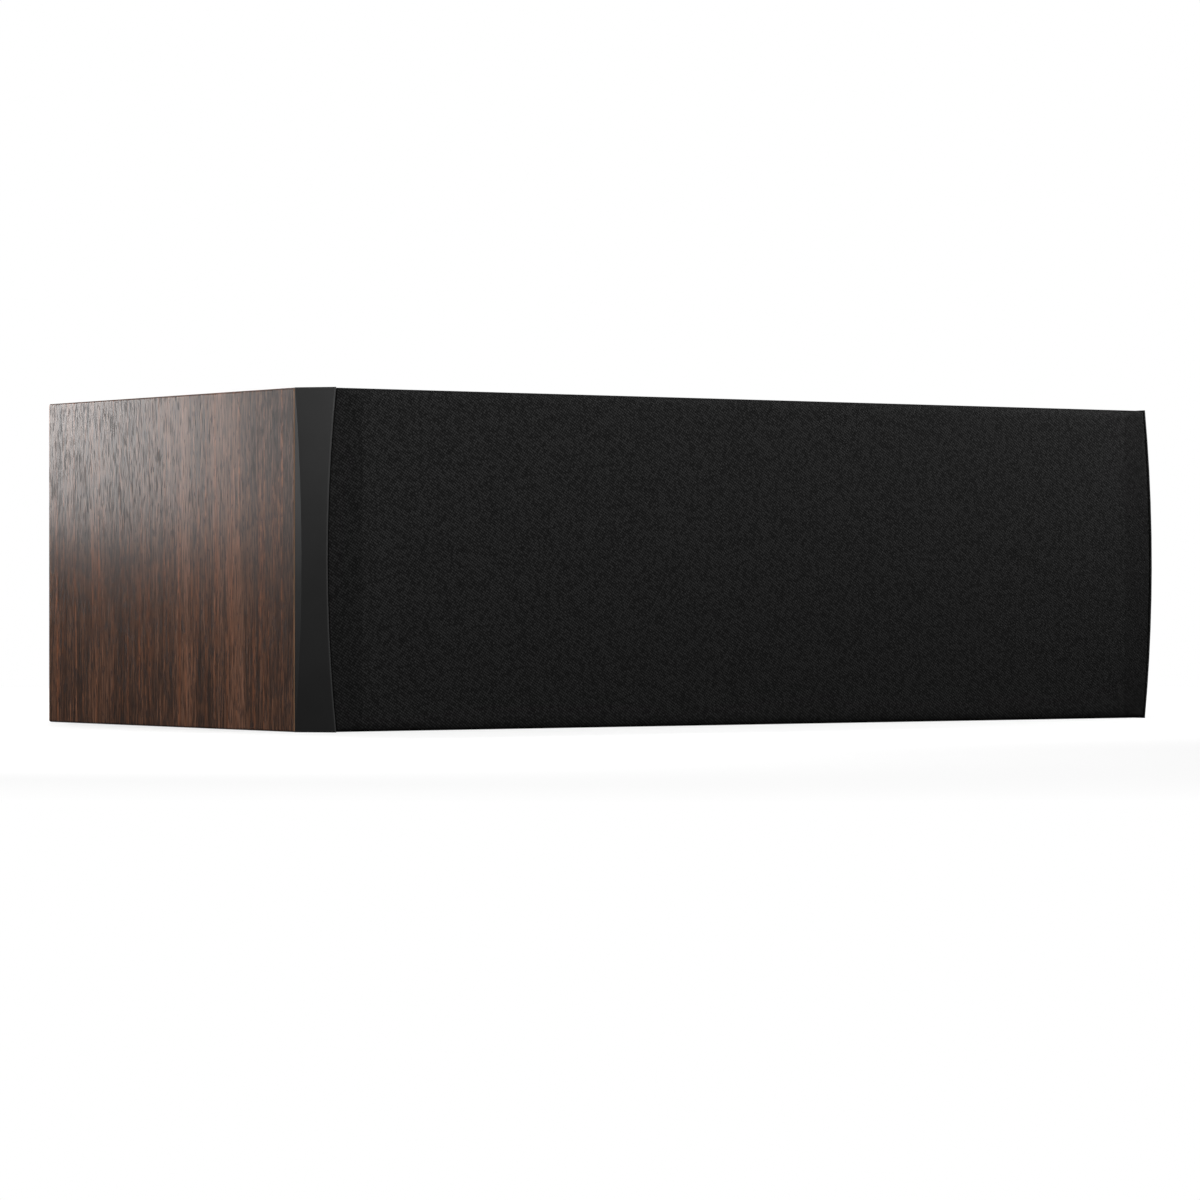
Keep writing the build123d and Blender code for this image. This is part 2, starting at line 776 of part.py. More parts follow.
def tweeter_chamber():
    front = tweeter_rear()
    rear = front - chamber_length
    profile = outline(
        (0, rear),
        (chamber_radius - 2 * chamber_wall, rear),
        (chamber_radius, rear + 2 * chamber_wall),
        (chamber_radius, front),
        (chamber_radius - chamber_wall, front),
        (chamber_radius - chamber_wall, rear + 2 * chamber_wall),
        (chamber_radius - 2 * chamber_wall, rear + chamber_wall),
        (0, rear + chamber_wall),
    )
    return turned(profile)


# Pieces on the back, about a local Z axis that points out of the back


def reflex_port():
    """Moulded port with a wide outer flare and a small inner one; the back board's face is at zero."""
    mouth = port_mouth_radius
    throat = port_radius
    rim_z = port_flange_thickness
    flare_end = rim_z - port_flare_depth
    inner_start = -port_length + 2 * port_inner_flare
    lean = math.sqrt(0.5)
    outer_mid = (mouth - (mouth - throat) * lean, rim_z - port_flare_depth * (1 - lean))
    inner_mid = (throat + port_inner_flare * (1 - lean), inner_start - 2 * port_inner_flare * lean)
    w = port_wall
    inside = [
        ThreePointArc((mouth, rim_z), outer_mid, (throat, flare_end)),
        Line((throat, flare_end), (throat, inner_start)),
        ThreePointArc((throat, inner_start), inner_mid, (throat + port_inner_flare, -port_length)),
    ]
    outside = Polyline(
        (throat + port_inner_flare, -port_length),
        (throat + port_inner_flare + w, -port_length),
        (throat + w, inner_start),
        (throat + w, flare_end),
        (mouth + w, -board_thickness),
        (mouth + w, 0),
        (port_flange_radius, 0),
        (port_flange_radius, rim_z / 2),
        (port_flange_radius - rim_z / 2, rim_z),
        (mouth, rim_z),
    )
    return turned(make_face(inside + [outside]))


def terminal_plate():
    base = RectangleRounded(plate_width, plate_height, plate_corner_radius)
    plate = extrude(base, amount=-plate_thickness)
    plate = chamfer(plate.faces().sort_by(Axis.Z)[-1].outer_wire().edges(), plate_chamfer)
    hole_length = 2 * (plate_thickness + boss_height)
    for x in (-post_spacing / 2, post_spacing / 2):
        plate += Pos(x, 0, boss_height / 2) * Cylinder(boss_radius, boss_height)
        plate -= Pos(x, 0, 0) * Cylinder(post_shank_radius + thread_gap, hole_length)
    return screw_seats(plate, terminal_screw_points(), 0, plate_thickness)


def terminal_gasket():
    outer = RectangleRounded(plate_width, plate_height, plate_corner_radius)
    inner = RectangleRounded(well_width, well_height, plate_corner_radius)
    ring = extrude(Pos(0, 0, -plate_thickness) * (outer - inner), amount=-gasket_thickness)
    holes = screw_shank_radius + screw_clearance
    low = -plate_thickness - gasket_thickness
    return drilled(ring, terminal_screw_points(), holes, low, -plate_thickness)


def binding_post():
    """Collar, threaded stem with a socket and a wire hole, and a shank; the boss's face is at zero."""
    shank_length = boss_y - crossover_y + 2 * nut_thickness + crossover_thickness
    post = Pos(0, 0, post_collar_height / 2) * Cylinder(post_collar_radius, post_collar_height)
    post = chamfer(post.edges().group_by(Axis.Z)[-1], post_chamfer)
    post += Pos(0, 0, post_length / 2) * Cylinder(post_radius, post_length)
    post = chamfer(post.edges().group_by(Axis.Z)[-1], post_chamfer)
    post += Pos(0, 0, -shank_length / 2) * Cylinder(post_shank_radius, shank_length)
    post -= Pos(0, 0, post_length - socket_depth / 2) * Cylinder(socket_radius, socket_depth)
    wire_hole = Rot(90, 0, 0) * Cylinder(wire_hole_radius, 4 * post_radius)
    return post - Pos(0, 0, wire_hole_height) * wire_hole


def nut(face_z):
    """A hexagon nut on the post's shank, from face_z inwards."""
    hexagon = RegularPolygon(nut_radius, 6) - Circle(post_shank_radius + thread_gap)
    return extrude(Pos(0, 0, face_z) * hexagon, amount=-nut_thickness)


def cap_insert():
    """Threaded brass sleeve of a screw cap, above the wire hole; the boss's face is at zero."""
    bore = post_radius + thread_gap
    return turned(band(bore, bore + insert_wall, insert_start, insert_start + insert_length))


def cap_knob():
    """Fluted knob of a screw cap, open at its end for a plug."""
    low = post_collar_height + knob_lift
    top = low + knob_length
    seat = post_radius + thread_gap + insert_wall + thread_gap
    seat_end = insert_start + insert_length + thread_gap
    mouth = post_radius + knob_mouth_gap
    profile = outline(
        (seat, low),
        (knob_radius, low),
        (knob_radius, top - knob_edge),
        (knob_radius - knob_edge, top),
        (mouth + knob_edge, top),
        (mouth, top - knob_edge),
        (mouth, seat_end),
        (seat, seat_end),
    )
    knob = turned(profile)
    for x, y in on_circle(knob_radius + knob_flute_radius / 2, knob_flute_count):
        knob -= Pos(x, y, low + knob_skirt + knob_length / 2) * Cylinder(knob_flute_radius, knob_length)
    return knob


# Crossover, cables and damping


def crossover_board():
    board = RectangleRounded(crossover_width, crossover_height, crossover_corner)
    for x in (-post_spacing / 2, post_spacing / 2):
        board -= Pos(x, 0) * Circle(post_shank_radius + part_gap)
    return extrude(facing_front(crossover_y) * board, amount=-crossover_thickness)


def crossover_coils():
    spool = turned(band(coil_inner_radius, coil_radius - winding_recess, 0, coil_height))
    spool += turned(band(coil_inner_radius, coil_radius, 0, bobbin_cheek))
    spool += turned(band(coil_inner_radius, coil_radius, coil_height - bobbin_cheek, coil_height))
    x = crossover_width / 2 - coil_radius - crossover_margin
    z = mid_z + crossover_height / 2 - coil_radius - crossover_margin
    return Compound(children=[facing_front(crossover_y, sx * x, z).location * spool for sx in (-1, 1)])


def crossover_capacitors():
    can = Rot(0, 90, 0) * Cylinder(capacitor_radius, capacitor_length)
    can = fillet(can.edges().filter_by(GeomType.CIRCLE), capacitor_rounding)
    z = mid_z - crossover_height / 2 + capacitor_radius + crossover_margin
    step = (crossover_width - crossover_margin) / 3
    y = crossover_y - capacitor_radius - glue_gap
    return Compound(children=[Pos(i * step, y, z) * can for i in (-1, 0, 1)])


def crossover_resistors():
    block = Box(resistor_length, resistor_side, resistor_side)
    block = chamfer(block.edges(), resistor_chamfer)
    y = crossover_y - resistor_side / 2
    top = mid_z + crossover_height / 2 - resistor_side
    return Compound(children=[Pos(0, y, top - i * resistor_pitch) * block for i in (0, 1)])


def cable(*points):
    path = FilletPolyline(*points, radius=cable_bend)
    section = Plane(origin=path @ 0, z_dir=path % 0) * Circle(cable_radius)
    return sweep(section, path=path)


def internal_cables():
    """From the crossover board to each woofer's tab and to the tweeter's rear chamber."""
    low_z = mid_z - cable_drop
    start_x = crossover_width / 2 - cable_edge_inset
    tab_x = woofer_x - basket_rear_radius - tab_solder_reach
    tab_y = floor_y + basket_depth
    cables = []
    for side in (-1, 1):
        start = (side * start_x, crossover_y, low_z)
        first = (side * start_x, crossover_y - cable_straight, low_z)
        second = (side * tab_x, tab_y + cable_straight + cable_slack, mid_z)
        cables.append(cable(start, first, second, (side * tab_x, tab_y, mid_z)))
    chamber_y = floor_y - tweeter_rear() + chamber_length
    first = (0, crossover_y - cable_straight, low_z)
    second = (0, chamber_y + cable_straight, mid_z)
    cables.append(cable((0, crossover_y, low_z), first, second, (0, chamber_y, mid_z)))
    return Compound(children=cables)


def damping_pad(side):
    length = back_inner_y - tenon_y - 2 * damping_margin
    height = inner_height - 2 * damping_margin
    middle = (back_inner_y + tenon_y) / 2
    x = side * (inner_width / 2 - damping_thickness / 2)
    pad = Box(damping_thickness, length, height)
    free_face = pad.faces().sort_by(Axis.X)[0 if side > 0 else -1]
    pad = fillet(free_face.edges(), damping_corner)
    return Pos(x, middle, mid_z) * pad


def all_pieces():
    pieces = {}
    ring = wrap_ring()
    pieces["top_board"] = wrap_board(ring, 0, 1)
    pieces["bottom_board"] = wrap_board(ring, 0, -1)
    pieces["left_side_board"] = wrap_board(ring, -1, 0)
    pieces["right_side_board"] = wrap_board(ring, 1, 0)
    pieces["back_board"] = back_board()
    pieces["left_brace"] = brace(-brace_x)
    pieces["right_brace"] = brace(brace_x)
    pieces["front_baffle"] = front_baffle()
    pieces["baffle_magnets"] = baffle_magnets()
    pieces["grille_frame"] = grille_frame()
    pieces["grille_cloth"] = grille_cloth()
    pieces["grille_magnets"] = grille_magnets()

    screws = []
    gaskets = []
    for name, side in (("left", -1), ("right", 1)):
        seat = facing_front(floor_y, side * woofer_x).location
        pieces[name + "_woofer_basket"] = seat * woofer_basket(-side)
        pieces[name + "_woofer_surround"] = seat * woofer_surround()
        pieces[name + "_woofer_cone"] = seat * woofer_cone()
        pieces[name + "_woofer_dust_cap"] = seat * woofer_dust_cap()
        pieces[name + "_woofer_coil"] = seat * woofer_coil()
        pieces[name + "_woofer_spider"] = seat * woofer_spider()
        pieces[name + "_woofer_top_plate"] = seat * woofer_top_plate()
        pieces[name + "_woofer_magnet"] = seat * woofer_magnet()
        pieces[name + "_woofer_yoke"] = seat * woofer_yoke()
        gaskets.append(seat * woofer_gasket())
        screws += [seat * screw(x, y, -screw_set_back) for x, y in woofer_screw_points()]
    pieces["woofer_screws"] = Compound(children=screws)

    seat = facing_front(floor_y).location
    gaskets.append(seat * tweeter_gasket())
    pieces["driver_gaskets"] = Compound(children=gaskets)
    pieces["tweeter_faceplate"] = seat * tweeter_faceplate()
    pieces["tweeter_surround"] = seat * tweeter_surround()
    pieces["tweeter_dome"] = seat * tweeter_dome()
    pieces["tweeter_coil"] = seat * tweeter_coil()
    pieces["tweeter_top_plate"] = seat * tweeter_top_plate()
    pieces["tweeter_magnet"] = seat * tweeter_magnet()
    pieces["tweeter_yoke"] = seat * tweeter_yoke()
    pieces["tweeter_chamber"] = seat * tweeter_chamber()
    pieces["tweeter_screws"] = Compound(
        children=[seat * screw(x, y, -screw_set_back) for x, y in tweeter_screw_points()]
    )

    for name, side in (("left", -1), ("right", 1)):
        pieces[name + "_port"] = facing_back(back_y, side * port_offset).location * reflex_port()

    back = facing_back(back_y).location
    pieces["terminal_plate"] = back * terminal_plate()
    pieces["terminal_gasket"] = back * terminal_gasket()
    pieces["terminal_screws"] = Compound(
        children=[back * screw(x, y, -screw_set_back) for x, y in terminal_screw_points()]
    )
    nuts = []
    for name, side in (("red", -1), ("black", 1)):
        place = facing_back(boss_y, side * post_spacing / 2).location
        pieces[name + "_post"] = place * binding_post()
        pieces[name + "_cap_insert"] = place * cap_insert()
        pieces[name + "_cap_knob"] = place * cap_knob()
        board_rear = crossover_y + crossover_thickness - boss_y
        faces = (-boss_height - plate_thickness, board_rear + nut_thickness, crossover_y - boss_y)
        nuts += [place * nut(face) for face in faces]
    pieces["post_nuts"] = Compound(children=nuts)

    pieces["crossover_board"] = crossover_board()
    pieces["crossover_coils"] = crossover_coils()
    pieces["crossover_capacitors"] = crossover_capacitors()
    pieces["crossover_resistors"] = crossover_resistors()
    pieces["internal_cables"] = internal_cables()
    pieces["left_damping_pad"] = damping_pad(-1)
    pieces["right_damping_pad"] = damping_pad(1)
    return pieces


os.makedirs("parts", exist_ok=True)
for name, shape in all_pieces().items():
    export_step(shape, f"parts/{name}.step")
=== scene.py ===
import json
import math

import bmesh
import bpy
import numpy as np
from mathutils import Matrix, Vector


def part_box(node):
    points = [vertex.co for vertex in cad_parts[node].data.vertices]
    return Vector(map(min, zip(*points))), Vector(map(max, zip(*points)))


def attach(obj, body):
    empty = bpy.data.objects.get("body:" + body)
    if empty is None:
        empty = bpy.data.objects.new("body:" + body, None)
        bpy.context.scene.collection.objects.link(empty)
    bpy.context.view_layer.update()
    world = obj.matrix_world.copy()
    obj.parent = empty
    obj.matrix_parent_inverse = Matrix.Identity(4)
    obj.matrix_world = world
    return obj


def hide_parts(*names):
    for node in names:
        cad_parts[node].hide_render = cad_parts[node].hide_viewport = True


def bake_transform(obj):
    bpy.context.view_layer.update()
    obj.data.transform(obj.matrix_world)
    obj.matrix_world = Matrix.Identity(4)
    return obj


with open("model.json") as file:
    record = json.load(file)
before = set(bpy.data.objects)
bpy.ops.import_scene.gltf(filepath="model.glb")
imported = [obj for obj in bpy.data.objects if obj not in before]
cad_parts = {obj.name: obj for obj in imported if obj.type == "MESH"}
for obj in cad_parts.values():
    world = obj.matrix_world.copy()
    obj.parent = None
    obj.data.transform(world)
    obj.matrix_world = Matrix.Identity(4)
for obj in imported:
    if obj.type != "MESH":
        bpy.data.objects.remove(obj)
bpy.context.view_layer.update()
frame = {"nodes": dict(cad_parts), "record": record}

nodes = frame["nodes"]
slotOf = {row["node"]: row["material_slot"] for row in frame["record"]["subparts"]}
scene = bpy.context.scene
mm = 0.001
print("frame loaded with", len(nodes), "CAD nodes")


def linear(code):
    # sRGB hex to linear colour
    parts = [int(code[i:i + 2], 16) / 255 for i in (1, 3, 5)]
    return [p / 12.92 if p <= 0.04045 else ((p + 0.055) / 1.055) ** 2.4 for p in parts] + [1.0]


def addNode(tree, kind, settings=None, links=None):
    made = tree.nodes.new("ShaderNode" + kind)
    for key, value in (settings or {}).items():
        if key == "stops":  # places and colours along a ramp
            ramp = made.color_ramp.elements
            while len(ramp) < len(value):
                ramp.new(0.5)
            for stop, (place, code) in zip(ramp, value):
                stop.position = place
                stop.color = linear(code)
        elif isinstance(key, int) or key in made.inputs:
            made.inputs[key].default_value = value
        else:
            setattr(made, key, value)
    for key, source in (links or {}).items():
        tree.links.new(getattr(source, "outputs", [source])[0], made.inputs[key])
    return made


def emptyTree(owner):
    # the cleared node tree of a material or a world
    owner.use_nodes = True
    owner.node_tree.nodes.clear()
    return owner.node_tree


def startMaterial(name, settings):
    # an empty material with its shader wired to the output
    material = bpy.data.materials.new(name)
    tree = emptyTree(material)
    shader = addNode(tree, "BsdfPrincipled", settings)
    addNode(tree, "OutputMaterial", {}, {"Surface": shader})
    return material, tree, shader


def feed(tree, shader, sources):
    for socket, source in sources.items():
        tree.links.new(source.outputs[0], shader.inputs[socket])


def streaks(tree, place, widthMm, lengthMm, detail=2.0, crisp=0.55, bend=0.0):
    # cloudy pattern with features of about this size, drawn out along local Z
    size = (1 / (widthMm * mm), 1 / (widthMm * mm), 1 / (lengthMm * mm))
    drawn = addNode(tree, "Mapping", {"Scale": size}, {"Vector": place})
    settings = {"Scale": 1.0, "Detail": detail, "Roughness": crisp, "Distortion": bend}
    return addNode(tree, "TexNoise", settings, {"Vector": drawn})


def speckle(tree, place, sizeMm, detail=2.0):
    # the same pattern, even in every direction and a little crisper
    return streaks(tree, place, sizeMm, sizeMm, detail, crisp=0.6)


def dress(name, material):
    for slot in nodes[name].material_slots:
        slot.material = material


def newPiece(name, mesh, material):
    piece = bpy.data.objects.new(name, mesh)
    scene.collection.objects.link(piece)
    mesh.materials.append(material)
    for face in mesh.polygons:
        face.use_smooth = True
    return piece


# Walnut cabinet

walnut = {
    "dark": "#38251b", "middle": "#53392b", "light": "#6f4e3d", "warm": "#7b492d", "pore": "#170f0c",
    "bandMm": (24, 420), "streakMm": (2.4, 110), "warmMm": (3.0, 160),  # width and length of each pattern
    "fibreMm": (0.95, 12), "poreMm": (1.05, 8),  # drawn coarser than the real ones so that they show
    "toneRange": (0.74, 1.26), "warmRange": (0.52, 0.72), "warmShare": 0.6,
    "fibreRange": (0.34, 0.66), "fibreContrast": 0.62,
    "bandRange": (0.35, 0.65), "poreLimits": (0.5, 0.58), "poreBlur": 0.05,  # dark bands have more pores
    "poreDarkness": 0.68, "poreDepthMm": 0.02, "relief": 0.5,
    "ior": 1.5, "specular": 0.075, "roughness": (0.29, 0.51),  # smooth between the pores, dull in them
    "edge": "#a5805f", "edgeMm": 0.7, "edgeHighlightShare": 0.6,  # painted highlight along the front edge
}


def walnutVeneer(name, turn):
    # sliced walnut, open-pored under thin satin lacquer: brown streaks, warm threads and short dark pores
    w = walnut
    material, tree, shader = startMaterial(name, {"IOR": w["ior"], "Specular IOR Level": w["specular"]})
    coords = addNode(tree, "TexCoord").outputs["Object"]
    place = addNode(tree, "Mapping", {"Rotation": turn}, {"Vector": coords})
    bands = streaks(tree, place, *w["bandMm"], detail=2.0, bend=0.5)
    streak = streaks(tree, place, *w["streakMm"], detail=2.0, bend=0.25)
    warmth = streaks(tree, place, *w["warmMm"], detail=1.5, bend=0.3)
    fibre = streaks(tree, place, *w["fibreMm"], detail=2.5, bend=0.3)
    pores = streaks(tree, place, *w["poreMm"], detail=1.5, bend=0.6)
    both = addNode(tree, "Math", {"operation": "ADD"}, {0: bands, 1: streak})
    low, high = w["toneRange"]
    tone = addNode(tree, "MapRange", {"From Min": low, "From Max": high}, {"Value": both})
    stops = [(0.0, w["dark"]), (0.5, w["middle"]), (1.0, w["light"])]
    brown = addNode(tree, "ValToRGB", {"stops": stops}, {"Fac": tone})
    low, high = w["warmRange"]
    glow = addNode(tree, "MapRange", {"From Min": low, "From Max": high, "To Max": w["warmShare"]},
                   {"Value": warmth})
    warmed = addNode(tree, "MixRGB", {"Color2": linear(w["warm"])}, {"Fac": glow, "Color1": brown})
    low, high = w["fibreRange"]
    contrast = w["fibreContrast"]
    thread = addNode(tree, "MapRange", {"From Min": low, "From Max": high, "To Min": 1 - contrast,
                                        "To Max": 1 + contrast}, {"Value": fibre})
    lined = addNode(tree, "VectorMath", {"operation": "SCALE"}, {"Vector": warmed, "Scale": thread})
    low, high = w["bandRange"]
    many, few = w["poreLimits"]
    limit = addNode(tree, "MapRange", {"From Min": low, "From Max": high, "To Min": many, "To Max": few},
                    {"Value": bands})
    above = addNode(tree, "Math", {"operation": "SUBTRACT"}, {0: pores, 1: limit})
    dash = addNode(tree, "MapRange", {"From Min": 0.0, "From Max": w["poreBlur"]}, {"Value": above})
    amount = addNode(tree, "Math", {"operation": "MULTIPLY", 1: w["poreDarkness"]}, {0: dash})
    pored = addNode(tree, "MixRGB", {"Color2": linear(w["pore"])}, {"Fac": amount, "Color1": lined})
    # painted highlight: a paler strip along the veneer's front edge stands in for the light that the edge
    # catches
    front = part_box("left_side_board")[0].y
    depth = addNode(tree, "SeparateXYZ", {}, {0: coords}).outputs["Y"]
    paintedEdgeHighlight = addNode(tree, "MapRange", {"From Min": front, "From Max": front + w["edgeMm"] * mm,
                                      "To Min": w["edgeHighlightShare"], "To Max": 0.0}, {"Value": depth})
    colour = addNode(tree, "MixRGB", {"Color2": linear(w["edge"])}, {"Fac": paintedEdgeHighlight, "Color1": pored})
    low, high = w["roughness"]
    dull = addNode(tree, "MapRange", {"To Min": low, "To Max": high}, {"Value": dash})
    relief = addNode(tree, "Math", {"operation": "SUBTRACT"}, {0: fibre, 1: dash})
    bump = addNode(tree, "Bump", {"Strength": w["relief"], "Distance": w["poreDepthMm"] * mm},
                   {"Height": relief})
    feed(tree, shader, {"Base Color": colour, "Roughness": dull, "Normal": bump})
    return material


uprightGrain = walnutVeneer("walnutVeneerUpright", (0, 0, 0))
lengthwiseGrain = walnutVeneer("walnutVeneerLengthwise", (0, math.radians(90), 0))
for name in ("left_side_board", "right_side_board"):
    dress(name, uprightGrain)
for name in ("top_board", "bottom_board", "back_board"):
    dress(name, lengthwiseGrain)
print("walnut laid on the cabinet")


# Finishes of the other pieces, by material slot

finishes = {
    # sprayed on fibreboard and left satin: soft broad reflections with a faint orange-peel ripple, and a
    # painted highlight along the narrow front rim
    "black_lacquer": {"name": "satinBlackLacquer", "shades": ("#1f1f1f", "#232323"), "cloudMm": 60,
                      "roughness": (0.31, 0.37), "grainMm": 1.4, "depthMm": 0.004, "ior": 1.5,
                      "specular": 0.07, "rim": "#363636", "rimMm": 0.4},
    # injection-moulded in a spark-eroded mould: matt black with a fine even grain
    "black_moulding": {"name": "mouldedBlackAbs", "shades": ("#141415", "#1b1b1c"), "cloudMm": 25,
                       "roughness": (0.45, 0.6), "grainMm": 0.6, "depthMm": 0.03, "ior": 1.53},
    # routed from raw board: brown felted fibres, quite matt
    "bare_board": {"name": "rawFibreboard", "shades": ("#8f7350", "#b09167"), "cloudMm": 2.5,
                   "roughness": (0.8, 0.92), "grainMm": 0.5, "depthMm": 0.05, "ior": 1.47},
    # bright nickel over sintered magnet: silvery discs with faint handling marks
    "plated_magnet": {"name": "nickelPlatedMagnet", "shades": ("#aaa79f", "#c2bfb8"), "cloudMm": 3,
                      "roughness": (0.16, 0.32), "grainMm": 0.5, "depthMm": 0.003, "metallic": 1.0},
    # pressed and sintered powder: dark grey, dry and slightly gritty
    "ferrite": {"name": "sinteredFerrite", "shades": ("#29292b", "#39393b"), "cloudMm": 6,
                "roughness": (0.6, 0.78), "grainMm": 0.5, "depthMm": 0.04, "ior": 1.6},
    # turned steel with zinc plating: grey metal with a soft cloudy sheen
    "zinc_steel": {"name": "zincPlatedSteel", "shades": ("#8f9194", "#b0b2b3"), "cloudMm": 8,
                   "roughness": (0.28, 0.46), "grainMm": 0.7, "depthMm": 0.006, "metallic": 1.0},
    # powder-coated die casting: black with a close pebbled surface
    "basket_alloy": {"name": "powderCoatedCasting", "shades": ("#19191a", "#222223"), "cloudMm": 20,
                     "roughness": (0.46, 0.62), "grainMm": 0.9, "depthMm": 0.04, "ior": 1.5},
    # moulded butyl rubber: deep black, matt, with a faint bloom
    "black_rubber": {"name": "mouldedButylRubber", "shades": ("#101010", "#191919"), "cloudMm": 9,
                     "roughness": (0.5, 0.68), "grainMm": 0.7, "depthMm": 0.012, "ior": 1.52},
    # expanded closed-cell foam: dark grey with open cut cells
    "gasket_foam": {"name": "closedCellFoam", "shades": ("#161617", "#2b2b2d"), "cloudMm": 1.2,
                    "roughness": (0.85, 0.95), "grainMm": 0.8, "depthMm": 0.12, "ior": 1.5},
    # mineral-filled polymer, pressed: charcoal satin with fine rings from the tool
    "cone_polymer": {"name": "pressedMineralPolymer", "shades": ("#1b1b1d", "#212124"), "cloudMm": 7,
                     "roughness": (0.46, 0.54), "grainMm": 0.6, "depthMm": 0.03, "ior": 1.5, "ringMm": 1.6},
    # aluminium wire wound on a former: bright close turns
    "coil_wire": {"name": "woundAluminiumWire", "shades": ("#a9a59c", "#c9c6bf"), "cloudMm": 3,
                  "roughness": (0.25, 0.4), "grainMm": 0.5, "depthMm": 0.05, "metallic": 1.0,
                  "turnMm": 0.6},
    # gold-plated turned brass: warm bright metal, with the thread's turns as fine lines
    "post_brass": {"name": "goldPlatedBrass", "shades": ("#c79a45", "#e0bd72"), "cloudMm": 5,
                   "roughness": (0.16, 0.3), "grainMm": 0.5, "depthMm": 0.09, "metallic": 1.0,
                   "turnMm": 1.0},
    # red moulded cap: glossy and slightly deep in colour
    "red_knob": {"name": "mouldedRedAbs", "shades": ("#7d0f12", "#96151a"), "cloudMm": 7,
                 "roughness": (0.24, 0.36), "grainMm": 0.8, "depthMm": 0.01, "ior": 1.53},
    # black moulded cap: glossy black
    "black_knob": {"name": "mouldedGlossBlackAbs", "shades": ("#0f0f10", "#171718"), "cloudMm": 7,
                   "roughness": (0.24, 0.36), "grainMm": 0.8, "depthMm": 0.01, "ior": 1.53},
    # blackened steel: dark metal with brownish-grey tints
    "black_screw": {"name": "blackenedSteel", "shades": ("#1e1e20", "#302f2f"), "cloudMm": 2,
                    "roughness": (0.32, 0.5), "grainMm": 0.5, "depthMm": 0.012, "metallic": 1.0},
    # green solder mask over woven glass: smooth, with the weave just showing
    "circuit_board": {"name": "solderMaskedLaminate", "shades": ("#143f25", "#1b5231"), "cloudMm": 4,
                      "roughness": (0.3, 0.42), "grainMm": 0.9, "depthMm": 0.01, "ior": 1.52},
    # enamelled copper wire: orange-brown turns with a varnish gloss
    "copper_coil": {"name": "enamelledCopperWire", "shades": ("#8f4a22", "#b9672f"), "cloudMm": 5,
                    "roughness": (0.22, 0.36), "grainMm": 0.8, "depthMm": 0.2, "metallic": 1.0,
                    "turnMm": 1.2},
    # film capacitor in taped wrap: yellow, smooth, a little creased
    "capacitor_film": {"name": "tapedFilmWrap", "shades": ("#b59a2c", "#cdb346"), "cloudMm": 12,
                       "roughness": (0.28, 0.42), "grainMm": 3.0, "depthMm": 0.06, "ior": 1.5},
    # unglazed cast ceramic: chalk white with small pits
    "resistor_ceramic": {"name": "castCeramic", "shades": ("#cfccc1", "#e2dfd5"), "cloudMm": 3,
                         "roughness": (0.5, 0.7), "grainMm": 0.7, "depthMm": 0.06, "ior": 1.54},
    # extruded soft vinyl: dark grey, smooth along its length
    "cable_sheath": {"name": "extrudedVinylSheath", "shades": ("#232325", "#303033"), "cloudMm": 10,
                     "roughness": (0.4, 0.52), "grainMm": 1.0, "depthMm": 0.01, "ior": 1.53},
}


surfaces = {"drift": (0.35, 0.65), "cloudDetail": 3.0, "specular": 0.4, "glossShare": 1 / 3,
            "grainShare": 0.3, "relief": 0.6}  # what all these finishes share


def surfaceFinish(look, middle=None):
    # two shades that drift into each other, a drifting gloss, and a fine grain or turned lines in relief
    w = surfaces
    settings = {"Metallic": look.get("metallic", 0.0)}
    if "ior" in look:  # metals keep the default
        settings["IOR"] = look["ior"]
        settings["Specular IOR Level"] = look.get("specular", w["specular"])
    material, tree, shader = startMaterial(look["name"], settings)
    coords = addNode(tree, "TexCoord").outputs["Object"]
    cloud = speckle(tree, coords, look["cloudMm"], w["cloudDetail"])
    least, most = w["drift"]
    share = addNode(tree, "MapRange", {"From Min": least, "From Max": most}, {"Value": cloud})
    dark, light = look["shades"]
    colour = addNode(tree, "MixRGB", {"Color1": linear(dark), "Color2": linear(light)}, {"Fac": share})
    if "rim" in look:  # painted highlight: the narrow front rim is drawn paler
        depth = addNode(tree, "SeparateXYZ", {}, {0: coords}).outputs["Y"]
        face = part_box("front_baffle")[0].y
        paintedRimHighlight = addNode(tree, "MapRange", {"From Min": face, "From Max": face + look["rimMm"] * mm,
                                            "To Min": 1.0, "To Max": 0.0}, {"Value": depth})
        colour = addNode(tree, "MixRGB", {"Color2": linear(look["rim"])}, {"Fac": paintedRimHighlight, "Color1": colour})
    low, high = look["roughness"]
    dull = addNode(tree, "MapRange", {"From Min": least, "From Max": most, "To Min": low, "To Max": high},
                   {"Value": speckle(tree, coords, look["cloudMm"] * w["glossShare"])})
    height = speckle(tree, coords, look["grainMm"])
    pitch = look.get("ringMm") or look.get("turnMm")
    if pitch:
        if middle:  # rings about the driver's axis
            away = addNode(tree, "VectorMath", {"operation": "SUBTRACT", 1: middle}, {0: coords})
            flat = addNode(tree, "VectorMath", {"operation": "MULTIPLY", 1: (1, 0, 1)}, {0: away})
            measure = addNode(tree, "VectorMath", {"operation": "LENGTH"}, {0: flat}).outputs["Value"]
        else:  # turns along the front-to-back axis
            measure = addNode(tree, "SeparateXYZ", {}, {0: coords}).outputs["Y"]
        perMetre = 2 * math.pi / (pitch * mm)
        phase = addNode(tree, "Math", {"operation": "MULTIPLY", 1: perMetre}, {0: measure})
        wave = addNode(tree, "Math", {"operation": "SINE"}, {0: phase})
        lines = addNode(tree, "MapRange", {"From Min": -1.0, "From Max": 1.0}, {"Value": wave})
        height = addNode(tree, "Math", {"operation": "MULTIPLY_ADD", 1: w["grainShare"]},
                         {0: height, 2: lines})
    bump = addNode(tree, "Bump", {"Strength": w["relief"], "Distance": look["depthMm"] * mm},
                   {"Height": height})
    feed(tree, shader, {"Base Color": colour, "Roughness": dull, "Normal": bump})
    return material


